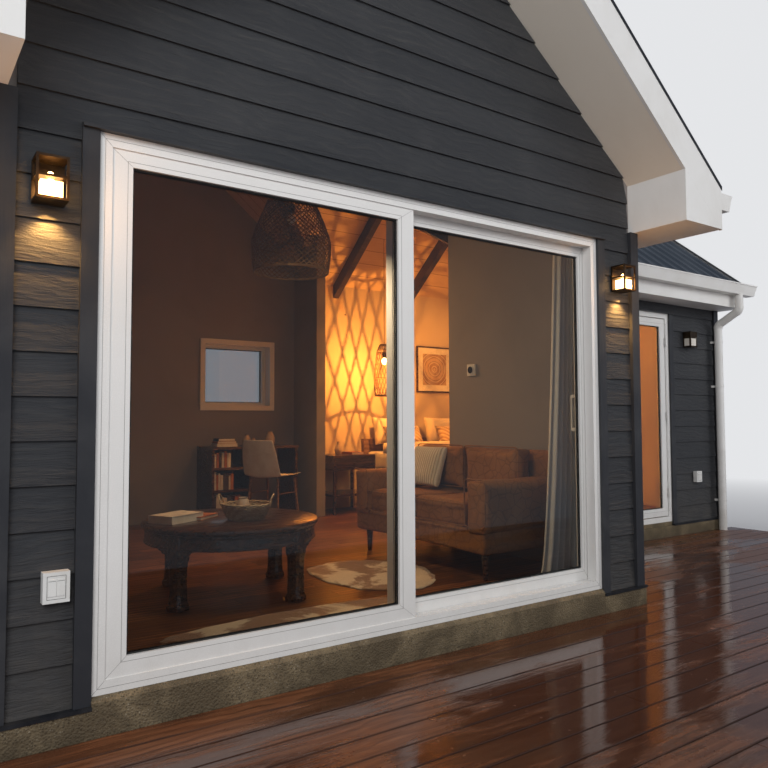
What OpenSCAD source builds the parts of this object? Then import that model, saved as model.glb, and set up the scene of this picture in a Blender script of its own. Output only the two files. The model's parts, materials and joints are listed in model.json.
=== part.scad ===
// Beach house: a gabled block with a wide sliding patio door and a lower range beside it.
// Origin: on the ground, under the patio door's face, at the middle of the gabled block.
// The gable front faces -Y and the range lies towards +X. Millimetres.

/* [Gabled block] */
// Width of the gabled block over its cladding
block_w = 3600; // [3500:50:4400]
// Depth of the gabled block over its cladding
block_d = 4250; // [4000:50:5000]
// Height from the plinth to the roof's underside at the outer face of the block's side walls
block_plate_h = 2498; // [2440:10:2900]

/* [Range] */
// Length of the range beyond the block
range_l = 3377; // [3340:20:4400]
// How far the front of the range stands behind the front of the block
range_back = 1420; // [1300:20:1600]
// Height from the plinth to the roof's underside at the outer faces of the range's long walls
range_plate_h = 2374; // [2300:10:2440]

/* [Walls] */
// Thickness of the structural wall behind the cladding
wall_t = 170; // [120:5:200]
// Depth in front of the structural wall that the lapped cladding fills
clad_t = 22; // [16:1:32]
// Thickness of the short wall between block and range
nib_t = 100; // [70:5:140]
// Length of the short wall between block and range
nib_l = 490; // [300:10:700]
// Width of a corner board
corner_w = 73; // [50:1:110]
// How far corner boards and trims stand in front of the cladding
trim_proud = 18; // [8:1:24]

/* [Plinth and floor] */
// Height of the plinth above the ground
plinth_top = 320; // [290:10:450]
// How far the plinth stands in front of the cladding
plinth_out = 25; // [10:1:60]
// How far the plinth's outer ledge lies below its top
plinth_step = 40; // [20:5:60]
// Height of the strip under the cladding
strip_h = 14; // [8:1:24]
// How far the strip under the cladding reaches past the plinth's face
strip_lip = 6; // [2:1:12]
// Thickness of the timber floor
floor_t = 35; // [20:1:45]

/* [Roof] */
// Pitch of both roofs in degrees
pitch = 39; // [35:1:42]
// Thickness of the roof build-up, square to the slope
roof_t = 190; // [150:5:220]
// Overhang of the block's verges in front of the gable
verge_out = 385; // [250:5:450]
// Overhang of the block's eaves to the outer face of the fascia
eave_out = 365; // [250:5:400]
// Overhang of the range's eaves to the outer face of the fascia
range_eave_out = 250; // [180:5:300]
// Overhang of the range's verge beyond its end wall
range_verge_out = 80; // [60:5:200]
// Thickness of fascias and barge boards
board_t = 20; // [15:1:30]
// Thickness of soffit boards
lining_t = 12; // [8:1:20]
// Height of the ribs of the roof sheets
rib_h = 25; // [15:1:35]
// Spacing of the ribs of the roof sheets
rib_pitch = 190; // [150:5:300]
// Width of the foot of a rib
rib_w = 60; // [40:1:80]
// Thickness of the roof sheet between its ribs
pan_t = 4; // [2:1:8]
// How far the roof sheets reach past the fascia
sheet_out = 50; // [30:5:70]
// Width of the open valley on each side of its line
valley_w = 60; // [40:5:100]
// Width of each wing of a ridge cap
cap_w = 150; // [100:5:200]
// Thickness of folded metal and of gutter walls
metal_t = 3; // [2:1:5]
// Width of a ceiling beam
beam_w = 70; // [50:5:100]
// Depth of a ceiling beam, square to the slope
beam_h = 110; // [80:5:160]
// Spacing of the range's ceiling beams
beam_pitch = 1000; // [800:10:1200]

/* [Gutters] */
// Width of a gutter
gutter_w = 125; // [100:5:150]
// Height of a gutter
gutter_h = 106; // [80:2:130]
// How much narrower a gutter is at its foot than at its lip
gutter_taper = 38; // [10:1:50]
// Thickness of a gutter's wall
gutter_t = 4; // [3:1:6]
// Diameter of a downpipe
pipe_d = 80; // [60:2:90]
// Gap between a downpipe and the strip on the plinth
pipe_gap = 8; // [5:1:20]
// Length of a gutter's outlet
outlet_l = 126; // [120:1:160]
// Slope of a swan neck from upright, in degrees
neck_angle = 60; // [50:1:65]

/* [Patio door] */
// Width of the wall left of the patio door
left_pier = 336.5; // [300:0.5:500]
// Width of the wall right of the patio door
right_pier = 376.5; // [300:0.5:500]
// Height of the patio door over its frame
door_h = 2100; // [1980:10:2160]
// Width of the outer frame's bars
frame_w = 50; // [40:1:70]
// Depth of the outer frame
frame_d = 134; // [130:1:160]
// How far the outer frame stands in front of the cladding
frame_proud = 2; // [0:1:15]
// Width of the fixed sash's jamb stile
sash_w = 78; // [60:1:95]
// Width of the fixed sash's bottom rail
sash_bottom = 73; // [60:1:95]
// Width of the fixed sash's top rail
sash_top = 62; // [50:1:80]
// Width of the meeting stiles
meet_w = 94; // [70:1:110]
// Right edge of the meeting stiles from the middle of the door
meet_off = 53; // [-20:1:90]
// Thickness of a sash
sash_d = 52; // [44:1:56]
// Width of the sliding panel's lock stile
slide_stile = 65; // [50:1:90]
// Width of the sliding panel's bottom rail
slide_bottom = 82; // [60:1:100]
// Width of the sliding panel's top rail
slide_rail = 69; // [50:1:90]
// Clearance of the sliding panel in its track
slide_gap = 6; // [5.5:0.5:8]
// Depth of the lip that keeps the sliding panel in its track
track_lip = 8; // [6:1:12]
// Thickness of a glass unit
glass_t = 24; // [18:1:30]
// Width of the trim boards beside the doors
trim_w = 62; // [45:1:75]
// Height of the flashing over a door
head_h = 24; // [15:1:40]
// How far the flashing over a door stands out
head_out = 33; // [20:1:50]
// How far the sill under the patio door falls to its front edge
sill_fall = 18; // [8:1:30]

/* [Deck door] */
// Right edge of the deck door over its frame, from the end of the range
deck_door_inset = 865; // [800:5:1000]
// Width of the deck door over its frame
deck_door_w = 900; // [800:10:1000]
// Height of the deck door over its frame
deck_door_h = 2055; // [1980:5:2100]
// Width of the deck door's frame bars
leaf_frame_w = 50; // [40:1:60]
// Depth of the deck door's frame
leaf_frame_d = 100; // [80:1:140]
// Width of the stiles and rails of the door leaf
leaf_w = 76; // [60:1:110]
// Thickness of the door leaf
leaf_d = 50; // [44:1:60]
// Clearance round the door leaf
leaf_gap = 8; // [7.5:0.5:10]
// Radius of a hinge knuckle
hinge_r = 7; // [5:0.5:9]
// Length of a hinge knuckle
hinge_l = 90; // [60:5:120]

/* [Rear window] */
// Left edge of the rear window from the right corner of the gable
window_in = 1310; // [1200:10:1500]
// Width of the rear window
window_w = 747; // [600:10:900]
// Height of the rear window
window_h = 660; // [500:10:800]
// Height of the rear window's sill over the plinth
window_sill = 1136; // [900:10:1300]
// Width of the rear window's frame bars
window_frame_w = 55; // [40:1:70]
// Depth of the rear window's frame
window_frame_d = 90; // [60:5:120]

/* [Lamps and switches] */
// Width of a wall lamp
lamp_w = 110; // [80:5:130]
// Height of a wall lamp
lamp_h = 158; // [120:2:200]
// Depth of a wall lamp
lamp_d = 100; // [70:5:130]
// Thickness of a wall lamp's plates and posts
lamp_plate = 9; // [6:1:12]
// Height of a lantern's foot over the plinth
lantern_rise = 1785; // [1700:5:1850]
// Middle of the left lantern from the left corner of the house
lantern_left_in = 160; // [140:2:200]
// Middle of the right lantern from the right corner of the gable
lantern_right_in = 178; // [140:2:200]
// Left edge of the front switch box from the left corner of the house
switch_in = 164; // [150:2:180]
// Left edge of the other switch box from the deck door
switch_off = 385; // [200:5:500]
// Height of the switch boxes over the plinth
switch_rise = 365; // [300:5:500]
// Depth of a switch box
switch_d = 40; // [25:1:60]

/* [Deck] */
// How far the deck reaches in front of the gable
deck_d = 2700; // [1800:50:3600]
// How far the deck reaches past the block's left side
deck_left = 560; // [300:20:1200]
// How far the deck reaches past the range's end
deck_right = 140; // [100:10:600]
// Height of a joist
joist_h = 150; // [120:5:180]
// Width of a joist
joist_w = 47; // [38:1:60]
// Greatest spacing of the joists
joist_pitch = 450; // [350:10:600]
// Thickness of a deck board
deck_board_t = 28; // [20:1:35]
// Gap between deck boards
board_gap = 5; // [3:1:8]
// How far the boards overhang the rims
deck_nose = 15; // [0:1:30]

/* [Furniture] */
// Diameter of the round table
table_d = 980; // [900:10:1200]
// Middle of the round table from the left wall's inner face
table_in = 1143; // [1050:1:1250]
// Middle of the round table from the front wall's inner face
table_back = 886; // [800:2:1000]
// Height of the round table
table_h = 417; // [400:1:520]
// Length of the sofa
sofa_l = 1440; // [1300:10:1500]
// Depth of the sofa
sofa_d = 800; // [700:10:850]
// Length of the writing desk under the rear window
desk_l = 900; // [800:10:950]
// Length of the bed
bed_l = 2050; // [1900:10:2150]
// Width of the bed
bed_w = 1500; // [1200:10:1600]
// Radius of the bell pendant at its widest
pendant_r = 255; // [200:5:300]
// Height of the bell pendant
pendant_h = 530; // [400:10:600]
// Radius of the woven lamp beside the bed
globe_r = 112; // [90:2:140]
// Height of the woven lamp beside the bed
globe_h = 560; // [400:10:620]
// Width of the wall picture
picture_w = 547; // [400:5:700]
// Height of the wall picture
picture_h = 558; // [400:5:700]
// Width of the drawn curtain
curtain_w = 420; // [300:10:500]

/* [Hidden] */
eps = 0.5;
tan_p = tan(pitch);
cos_p = cos(pitch);
// Cladding face to inner wall face
shell_t = wall_t + clad_t;
half_w = block_w / 2;
core_x = half_w - clad_t;
inner_x = half_w - shell_t;
core_y = clad_t;
inner_y = shell_t;
rear_core_y = block_d - clad_t;
rear_inner_y = block_d - shell_t;
range_core_y = range_back + clad_t;
range_inner_y = range_back + shell_t;
range_x = half_w + range_l;
range_core_x = range_x - clad_t;
range_inner_x = range_x - shell_t;
floor_z = plinth_top + floor_t;
ledge_z = plinth_top - plinth_step;
// The block's roof in its own cross section, x from the ridge
block_apex = plinth_top + block_plate_h + core_x * tan_p;
reach = half_w + eave_out;
// The range's roof, measured from its own ridge
ridge_y = (range_back + block_d) / 2;
range_half = (block_d - range_back) / 2;
range_apex = plinth_top + range_plate_h + (range_half - clad_t) * tan_p;
range_reach = range_half + range_eave_out;
range_end_x = range_x + range_verge_out;
verge_y0 = -verge_out;
verge_y1 = block_d + verge_out;
// Plan distance from the block's ridge to the point where the range's ridge meets its slope
valley_x = (block_apex - range_apex) / tan_p;
roof_rise = roof_t / cos_p;
barge_t = roof_t + rib_h;
sky = 6000;

// Levels shared by walls, eaves and corner boards
eave_soffit_z = block_apex - (reach - board_t) * tan_p - lining_t;
range_soffit_z = range_apex - (range_reach - board_t) * tan_p - lining_t;
// Clearance between separate pieces that meet on a seat
seat_gap = 0.3;
// Ridge height that the walls under the range's roof and the short wall are cut to
block_seat = block_apex - seat_gap;
range_seat = range_apex - seat_gap;
floor_joint = 1;
strip_z = ledge_z + strip_h;
sheet_gap = 16;
beam_start = 120;
ridge_beam_h = 180;
first_beam_off = 230;
first_beam_x = half_w + first_beam_off;
// How far the cut along the valleys runs past the range's end
valley_past = 1000;
gutter_drop = 10;
gutter_gap = 10;
gutter_past = 85;
bead = 6;
bend_r = 60;
collar_t = 3;
clip_h = 22;
clip_inset = 150;
clip_rise = 360;
spigot = 10;
pipe_inset = 90;
// Patio door: two panels in one frame, the sliding one behind the fixed one
door_x0 = left_pier - half_w;
door_x1 = half_w - right_pier;
door_mid = (door_x0 + door_x1) / 2;
meet_x1 = door_mid + meet_off;
meet_lap = 4;
jamb_lap = 26;
rail_lap = 12;
door_top = plinth_top + door_h;
fixed_y = 4;
track_y = fixed_y + sash_d + meet_lap;
frame_back_y = frame_d - frame_proud;
rail_w = 8;
slide_y = track_y + slide_gap;
slide_x0 = meet_x1 - meet_w;
slide_x1 = door_x1 - frame_w + jamb_lap;
slide_z0 = plinth_top + frame_w - rail_lap;
slide_z1 = door_top - frame_w + rail_lap;
// Leftmost place of the sliding panel, and the handle on its stile
slide_stop = 38;
slide_min_x = door_x0 + slide_stop;
glass_in = 14;
handle_w = 20;
handle_l = 220;
handle_rise = 900;
handle_z = floor_z + handle_rise;
handle_out = 30;
handle_in = 12;
// Deck door and its leaf, hinged on the side of the range's end and opening outwards
deck_door_x1 = range_x - deck_door_inset;
deck_door_x0 = deck_door_x1 - deck_door_w;
deck_door_top = plinth_top + deck_door_h;
leaf_x0 = deck_door_x0 + leaf_frame_w + leaf_gap;
leaf_x1 = deck_door_x1 - leaf_frame_w - leaf_gap;
leaf_z0 = plinth_top + leaf_frame_w + leaf_gap;
leaf_z1 = deck_door_top - leaf_frame_w - leaf_gap;
leaf_set = 6;
leaf_y = range_back + leaf_set;
hinge_side = 3;
hinge_x = leaf_x1 + hinge_side;
hinge_y = range_back - hinge_r - 1;
hinge_flap = 16;
hinge_inset = 180;
hinge_levels = [leaf_z0 + hinge_inset, (leaf_z0 + leaf_z1 - hinge_l) / 2, leaf_z1 - hinge_inset - hinge_l];
stop_lap = 12;
lever_out = 40;
lever_l = 120;
// Rear window
window_x0 = half_w - window_in;
window_x1 = window_x0 + window_w;
window_z0 = plinth_top + window_sill;
window_z1 = window_z0 + window_h;
window_y = block_d;
lining_w = 22;
architrave_w = 50;
architrave_t = 18;
// Lamps: middle and foot of each lantern, and the corner of the lamp beside the deck door
lantern_z = plinth_top + lantern_rise;
lantern_lift = 8;
lanterns = [[lantern_left_in - half_w, lantern_z], [half_w - lantern_right_in, lantern_z + lantern_lift]];
range_lamp_off = 262;
range_lamp_rise = 1735;
range_lamp_x = deck_door_x1 + range_lamp_off;
range_lamp_z = plinth_top + range_lamp_rise;
range_lamp_d = 80;
// Switch boxes: left edge, cladding face and height of each
switch_rim = 12;
switch_w = 89;
switch_h = 108;
switch_z = plinth_top + switch_rise;
switch_boxes = [[switch_in - half_w, 0], [deck_door_x1 + switch_off, range_back]];
// Deck
deck_top = joist_h + deck_board_t;
deck_x0 = -half_w - deck_left;
deck_x1 = range_x + deck_right;
// Round table
table_x = table_in - inner_x;
table_y = inner_y + table_back;
table_top = floor_z + table_h;
table_t = 35;
table_lip = 15;
table_turn = -16;
apron_h = 75;
apron_t = 30;
table_leg_w = 85;
// Sofa against the right wall
sofa_x1 = inner_x;
sofa_x0 = sofa_x1 - sofa_d;
sofa_off = 168;
sofa_y0 = inner_y + sofa_off;
sofa_y1 = sofa_y0 + sofa_l;
sofa_leg = 150;
sofa_base_h = 300;
sofa_arm_h = 610;
sofa_arm_w = 190;
sofa_back_h = 790;
sofa_back_t = 160;
cushion_t = 170;
leg_foot_r = 14;
leg_head_r = 24;
// Bed against the range's rear wall
bed_off = 760;
bed_x0 = inner_x + bed_off;
bed_y0 = rear_inner_y - bed_l;
bed_leg = 150;
bed_leg_w = 70;
bed_base_h = 400;
bed_head_t = 60;
bed_head_h = 760;
mattress_t = 300;
pillow_t = 170;
pillow_h = 300;
// Side table with a drawer, and the desk with its book bay
side_gap = 150;
side_w = 510;
side_d = 460;
side_h = 605;
side_drawer_h = 130;
side_off = 500;
side_y0 = rear_inner_y - side_off;
side_shelf_z = 180;
shelf_t = 24;
desk_off = 50;
desk_x0 = window_x0 - desk_off;
desk_x1 = desk_x0 + desk_l;
desk_d = 420;
desk_y0 = rear_inner_y - desk_d;
desk_h = 720;
desk_top = floor_z + desk_h;
bay_w = 400;
bay_shelves = [60, 290, 500];
// Shell chair beside the desk
chair_in = 440;
chair_x = desk_x1 - chair_in;
chair_gap = 310;
chair_y = desk_y0 - chair_gap;
chair_turn = -62;
chair_seat_h = 440;
chair_seat_z = floor_z + chair_seat_h;
chair_seat_w = 440;
chair_seat_d = 420;
chair_shell_t = 14;
chair_back_w = 400;
chair_back_h = 360;
chair_lean = 12;
chair_foot_r = 10;
chair_head_r = 18;
chair_leg_x = 180;
chair_leg_y = 170;
// Woven shades, hung from the ceilings above them
shade_t = 8;
flex_r = 5;
pendant_off = 1058;
pendant_rise = 1905;
pendant_y = inner_y + pendant_off;
pendant_z = floor_z + pendant_rise;
globe_side = 690;
globe_back = 560;
globe_rise = 1225;
globe_x = inner_x + globe_side;
globe_y = rear_inner_y - globe_back;
globe_z = floor_z + globe_rise;
// Wall picture and thermostat
picture_off = 790;
picture_rise = 1305;
picture_x = bed_x0 + picture_off;
picture_z = floor_z + picture_rise;
picture_t = 30;
thermostat_w = 90;
thermostat_t = 25;
thermostat_off = 1101;
thermostat_rise = 1307;
thermostat_y = inner_y + thermostat_off;
thermostat_z = floor_z + thermostat_rise;
// Curtain and rugs
curtain_side = 50;
curtain_x0 = inner_x - curtain_w - curtain_side;
curtain_out = 24;
curtain_t = 56;
curtain_clear = 8;
curtain_z0 = floor_z + curtain_clear;
rail_rise = 20;
rail_z = door_top + rail_rise;
rail_h = 30;
rug_side = 80;
rug_back = 193;
rug_x = table_x + rug_side;
rug_y = inner_y + rug_back;
rug_l = 1500;
rug_w = 290;
rug_t = 6;
sofa_rug_l = 800;
sofa_rug_w = 1040;
sofa_rug_side = 358;
sofa_rug_x = sofa_x0 - sofa_rug_side;
sofa_rug_back = 640;
sofa_rug_y = sofa_y0 + sofa_rug_back;

// Height of a roof's underside at a plan distance from its ridge
function under(apex, x) = apex - x * tan_p;

// Extrudes a section drawn in X and Z along Y
module along_y(y0, y1) translate([0, y1, 0]) rotate([90, 0, 0]) linear_extrude(y1 - y0) children();

// Extrudes a section drawn in Y and Z along X
module along_x(x0, x1) translate([x0, 0, 0]) rotate([90, 0, 90]) linear_extrude(x1 - x0) children();

// A box from its low corner to its high corner
module block(lo, hi) translate(lo) cube(hi - lo);

// Turns a part drawn for the block's roof into the range's front slope: outwards is -Y, along is +X
module to_range() translate([0, ridge_y, 0]) rotate([0, 0, -90]) children();

// Section of one slope, between two heights square to the underside and two plan distances
module slope_section(apex, x0, x1, low, high) polygon([
    [x0, under(apex, x0) + low / cos_p], [x1, under(apex, x1) + low / cos_p],
    [x1, under(apex, x1) + high / cos_p], [x0, under(apex, x0) + high / cos_p]]);

// Section of both slopes
module gable_section(apex, x1, low, high) polygon([
    [0, apex + low / cos_p], [x1, under(apex, x1) + low / cos_p],
    [x1, under(apex, x1) + high / cos_p], [0, apex + high / cos_p],
    [-x1, under(apex, x1) + high / cos_p], [-x1, under(apex, x1) + low / cos_p]]);

// Everything below the top of the block's roof build-up on its right slope
module below_block_roof() along_y(verge_y0 - eps, verge_y1 + eps) polygon([
    [-reach, 0], [reach, 0], [reach, under(block_apex, reach) + roof_rise],
    [0, block_apex + roof_rise], [-reach, under(block_apex, reach) + roof_rise]]);

// The room under the range's ceiling, which cuts through the block's right slope
module range_void() along_x(0, range_inner_x) polygon([
    [range_inner_y, 0], [rear_inner_y, 0],
    [rear_inner_y, under(range_apex, rear_inner_y - ridge_y)], [ridge_y, range_apex],
    [range_inner_y, under(range_apex, ridge_y - range_inner_y)]]);

// Plan of the range's roof where it lies over the block's slope, grown by a margin across the valleys
module valley_plan(grow) {
    tip = valley_x - grow * sqrt(2);
    run = range_end_x + valley_past - tip;
    translate([0, 0, plinth_top]) linear_extrude(sky)
        polygon([[tip, ridge_y], [tip + run, ridge_y - run], [tip + run, ridge_y + run]]);
}

module plinth_box(x0, x1, y0, y1) {
    block([x0 - plinth_out, y0 - plinth_out, 0], [x1 + plinth_out, y1 + plinth_out, ledge_z]);
    block([x0 + clad_t, y0 + clad_t, ledge_z], [x1 - clad_t, y1 - clad_t, plinth_top]);
}

module block_plinth() color([0.47, 0.44, 0.40]) {
    plinth_box(-half_w, half_w, 0, block_d);
    // Sloped sill under the patio door
    along_x(door_x0, door_x1) polygon([
        [-plinth_out, ledge_z], [core_y, ledge_z], [core_y, plinth_top],
        [0, plinth_top], [-plinth_out, plinth_top - sill_fall]]);
}

module range_plinth() color([0.47, 0.44, 0.40]) {
    block([half_w + plinth_out, range_back - plinth_out, 0],
        [range_x + plinth_out, block_d + plinth_out, ledge_z]);
    block([half_w + plinth_out, range_core_y, ledge_z], [range_core_x, rear_core_y, plinth_top]);
    block([core_x, range_core_y, ledge_z], [half_w + plinth_out, rear_core_y, plinth_top]);
    // Sill under the deck door
    block([deck_door_x0, range_back, ledge_z], [deck_door_x1, range_core_y, plinth_top]);
}

module timber_floor() color([0.45, 0.22, 0.10]) {
    block([-inner_x, inner_y, plinth_top], [inner_x, rear_inner_y, floor_z]);
    block([inner_x + floor_joint, range_inner_y, plinth_top], [range_inner_x, rear_inner_y, floor_z]);
}

wall_colour = [0.16, 0.17, 0.19];

module front_wall_left() color(wall_colour)
    block([-core_x, core_y, plinth_top], [door_x0, inner_y, door_top]);

module front_wall_right() color(wall_colour)
    block([door_x1, core_y, plinth_top], [core_x, inner_y, door_top]);

module front_gable_wall() color(wall_colour) along_y(core_y, inner_y) polygon([
    [-core_x, door_top], [core_x, door_top], [core_x, under(block_apex, core_x)],
    [0, block_apex], [-core_x, under(block_apex, core_x)]]);

// Section of a side wall whose top follows the slope
module side_wall_section() polygon([
    [inner_x, plinth_top], [core_x, plinth_top],
    [core_x, under(block_apex, core_x)], [inner_x, under(block_apex, inner_x)]]);

module left_wall() color(wall_colour)
    along_y(inner_y, rear_inner_y) mirror([1, 0]) side_wall_section();

module right_wall() color(wall_colour) along_y(inner_y, range_inner_y) side_wall_section();

module rear_gable_wall() color(wall_colour) difference() {
    along_y(rear_inner_y, rear_core_y) polygon([
        [-core_x, plinth_top], [core_x, plinth_top], [core_x, under(block_apex, core_x)],
        [0, block_apex], [-core_x, under(block_apex, core_x)]]);
    block([window_x0, rear_inner_y - eps, window_z0], [window_x1, rear_core_y + eps, window_z1]);
}

// The part of a long wall of the range that stands under the block's eave
module wall_under_eave(y0, y1) along_y(y0, y1) polygon([
    [core_x, plinth_top], [reach, plinth_top], [reach, eave_soffit_z],
    [reach - board_t, eave_soffit_z], [reach - board_t, under(block_apex, reach - board_t)],
    [core_x, under(block_apex, core_x)]]);

// Section of the range's front wall, drawn in Y and Z
module range_wall_section(z0) polygon([
    [range_core_y, z0], [range_inner_y, z0],
    [range_inner_y, under(range_seat, ridge_y - range_inner_y)],
    [range_core_y, under(range_seat, ridge_y - range_core_y)]]);

module range_rear_wall() color(wall_colour) {
    wall_under_eave(rear_inner_y, rear_core_y);
    translate([0, 2 * ridge_y, 0]) mirror([0, 1, 0])
        along_x(reach, range_inner_x) range_wall_section(plinth_top);
}

module range_front_wall_left() color(wall_colour) {
    wall_under_eave(range_core_y, range_inner_y);
    along_x(reach, deck_door_x0) range_wall_section(plinth_top);
}

module range_front_wall_right() color(wall_colour)
    along_x(deck_door_x1, range_inner_x) range_wall_section(plinth_top);

module range_front_wall_head() color(wall_colour)
    along_x(deck_door_x0, deck_door_x1) range_wall_section(deck_door_top);

module range_end_wall() color(wall_colour) along_x(range_inner_x, range_core_x) polygon([
    [range_core_y, plinth_top], [rear_core_y, plinth_top],
    [rear_core_y, under(range_seat, range_half - clad_t)], [ridge_y, range_seat],
    [range_core_y, under(range_seat, range_half - clad_t)]]);

// The short wall stands on the floor and rises to whichever ceiling is higher over it
module nib_wall() color([0.33, 0.31, 0.30]) {
    along_y(rear_inner_y - nib_l, rear_inner_y) polygon([
        [inner_x - nib_t, floor_z], [inner_x, floor_z],
        [inner_x, under(block_seat, inner_x)], [inner_x - nib_t, under(block_seat, inner_x - nib_t)]]);
    along_x(inner_x - nib_t, inner_x) polygon([
        [rear_inner_y - nib_l, floor_z], [rear_inner_y, floor_z],
        [rear_inner_y, under(range_seat, rear_inner_y - ridge_y)],
        [rear_inner_y - nib_l, under(range_seat, rear_inner_y - nib_l - ridge_y)]]);
}

// Roof build-up of one roof along its own Y, thinner over the open verges
module roof_slab(apex, x1, ends, walls) {
    along_y(ends[0], walls[0]) gable_section(apex, x1, lining_t, roof_t);
    along_y(walls[0], walls[1]) gable_section(apex, x1, 0, roof_t);
    along_y(walls[1], ends[1]) gable_section(apex, x1, lining_t, roof_t);
}

roof_colour = [0.20, 0.23, 0.27];
trim_white = [0.88, 0.87, 0.84];

module main_roof_deck() color([0.62, 0.50, 0.38]) difference() {
    roof_slab(block_apex, reach - board_t, [verge_y0 + board_t, verge_y1 - board_t],
        [core_y, rear_core_y]);
    range_void();
}

module range_roof_deck() color([0.62, 0.50, 0.38]) difference() {
    to_range() {
        along_y(0, range_core_x) gable_section(range_apex, range_reach - board_t, 0, roof_t);
        along_y(range_core_x, range_end_x - board_t)
            gable_section(range_apex, range_reach - board_t, lining_t, roof_t);
    }
    below_block_roof();
}

// A straight rafter under one slope, from the ridge beam to the wall
module rafter(apex, wall_x) along_y(-beam_w / 2, beam_w / 2)
    slope_section(apex, beam_w / 2 + seat_gap, wall_x, -beam_h, 0);

// A beam under the valley between the two ceilings
module valley_beam(side_run) {
    fall = atan(tan_p / sqrt(2));
    run = side_run * sqrt(2) - beam_w / 2 - 1;
    translate([valley_x, ridge_y, range_apex]) rotate([0, 0, -45]) rotate([0, fall, 0])
        block([beam_start / cos(fall), -beam_w / 2, -beam_h], [run / cos(fall), beam_w / 2, 0]);
}

module ceiling_beams() color([0.10, 0.08, 0.07]) {
    block([valley_x + beam_start, ridge_y - beam_w / 2, range_apex - ridge_beam_h],
        [range_inner_x, ridge_y + beam_w / 2, range_apex - beam_w / 2 * tan_p]);
    for (x = [first_beam_x : beam_pitch : range_inner_x - beam_w])
        for (side = [0, 1])
            translate([x, ridge_y, 0]) mirror([0, side, 0]) rotate([0, 0, -90])
                rafter(range_apex, range_half - shell_t);
    valley_beam(range_half - shell_t);
    translate([0, 2 * ridge_y, 0]) mirror([0, 1, 0]) valley_beam(inner_x - nib_t - valley_x);
}

// Ribbed sheet lying on one slope: ribs run down it, and y0 to y1 is its width
module ribbed_sheet(apex, x1, y0, y1) {
    count = floor((y1 - y0) / rib_pitch);
    first = y0 + (y1 - y0 - (count - 1) * rib_pitch) / 2;
    ribs = [for (i = [0 : count - 1], p = [[-rib_w / 2, pan_t], [-rib_w / 4, rib_h],
        [rib_w / 4, rib_h], [rib_w / 2, pan_t]]) [first + i * rib_pitch + p[0], p[1]]];
    translate([0, 0, apex + roof_rise + seat_gap]) rotate([0, pitch, 0])
        along_x(sheet_gap, x1 / cos_p) polygon(concat([[y0, 0], [y0, pan_t]], ribs, [[y1, pan_t], [y1, 0]]));
}

module main_roof_sheets() color(roof_colour) {
    mirror([1, 0, 0]) ribbed_sheet(block_apex, reach + sheet_out, verge_y0 + board_t, verge_y1 - board_t);
    difference() {
        ribbed_sheet(block_apex, reach + sheet_out, verge_y0 + board_t, verge_y1 - board_t);
        valley_plan(valley_w);
    }
}

module range_roof_sheets() color(roof_colour) intersection() {
    union() {
        to_range() ribbed_sheet(range_apex, range_reach + sheet_out, 0, range_end_x - board_t);
        translate([0, 2 * ridge_y, 0]) mirror([0, 1, 0])
            to_range() ribbed_sheet(range_apex, range_reach + sheet_out, 0, range_end_x - board_t);
    }
    valley_plan(-valley_w);
}

// Folded caps on both ridges
module ridge_caps() color(roof_colour) {
    cap_low = barge_t + 2 * seat_gap;
    along_y(verge_y0 - metal_t, verge_y1 + metal_t)
        gable_section(block_apex, cap_w, cap_low, cap_low + metal_t);
    to_range() along_y(valley_x + cap_w, range_end_x + metal_t)
        gable_section(range_apex, cap_w, cap_low, cap_low + metal_t);
}

// Metal lining of the valleys, folded along their lines
module valley_flashings() color([0.25, 0.28, 0.31]) translate([0, 0, seat_gap]) intersection() {
    union() {
        difference() {
            along_y(range_back - range_eave_out, verge_y1 - board_t)
                slope_section(block_apex, 0, reach, roof_t, roof_t + metal_t);
            valley_plan(0);
        }
        intersection() {
            to_range() along_y(0, reach) gable_section(range_apex, range_reach, roof_t, roof_t + metal_t);
            valley_plan(0);
        }
    }
    difference() {
        valley_plan(valley_w - 1);
        valley_plan(1 - valley_w);
    }
}

module barge_boards() color(trim_white) {
    for (y = [verge_y0, verge_y1 - board_t])
        along_y(y, y + board_t) gable_section(block_apex, reach, 0, barge_t);
    to_range() along_y(range_end_x - board_t, range_end_x)
        gable_section(range_apex, range_reach, 0, barge_t);
}

module verge_soffits() color([0.80, 0.74, 0.64]) {
    for (span = [[verge_y0 + board_t, core_y], [rear_core_y, verge_y1 - board_t]])
        along_y(span[0], span[1]) gable_section(block_apex, reach - board_t, 0, lining_t);
    to_range() along_y(range_core_x, range_end_x - board_t)
        gable_section(range_apex, range_reach - board_t, 0, lining_t);
}

// Boxed eave of one slope: fascia and soffit from y0 to y1, with end panels where asked
module boxed_eave(apex, wall_x, face_x, y0, y1, wall_y, ends) {
    soffit_top = under(apex, face_x - board_t);
    soffit_z = soffit_top - lining_t;
    run0 = ends[0] ? y0 + board_t : y0;
    run1 = ends[1] ? y1 - board_t : y1;
    along_y(run0, run1) {
        translate([face_x - board_t, soffit_z])
            square([board_t, under(apex, face_x) + roof_rise - soffit_z]);
        translate([wall_x, soffit_z]) square([face_x - board_t - wall_x, lining_t]);
    }
    for (panel = [[ends[0], y0, run0], [ends[1], run1, y1]])
        if (panel[0]) along_y(panel[1], panel[2]) polygon([
            [wall_x, soffit_z], [(apex - seat_gap - soffit_z) / tan_p, soffit_z],
            [wall_x, under(apex - seat_gap, wall_x)]]);
    for (cheek = [[ends[0], run0, wall_y[0]], [ends[1], wall_y[1], run1]])
        if (cheek[0]) along_y(cheek[1], cheek[2]) polygon([
            [wall_x, soffit_z], [wall_x + board_t, soffit_z],
            [wall_x + board_t, under(apex - seat_gap, wall_x + board_t)],
            [wall_x, under(apex - seat_gap, wall_x)]]);
}

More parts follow.
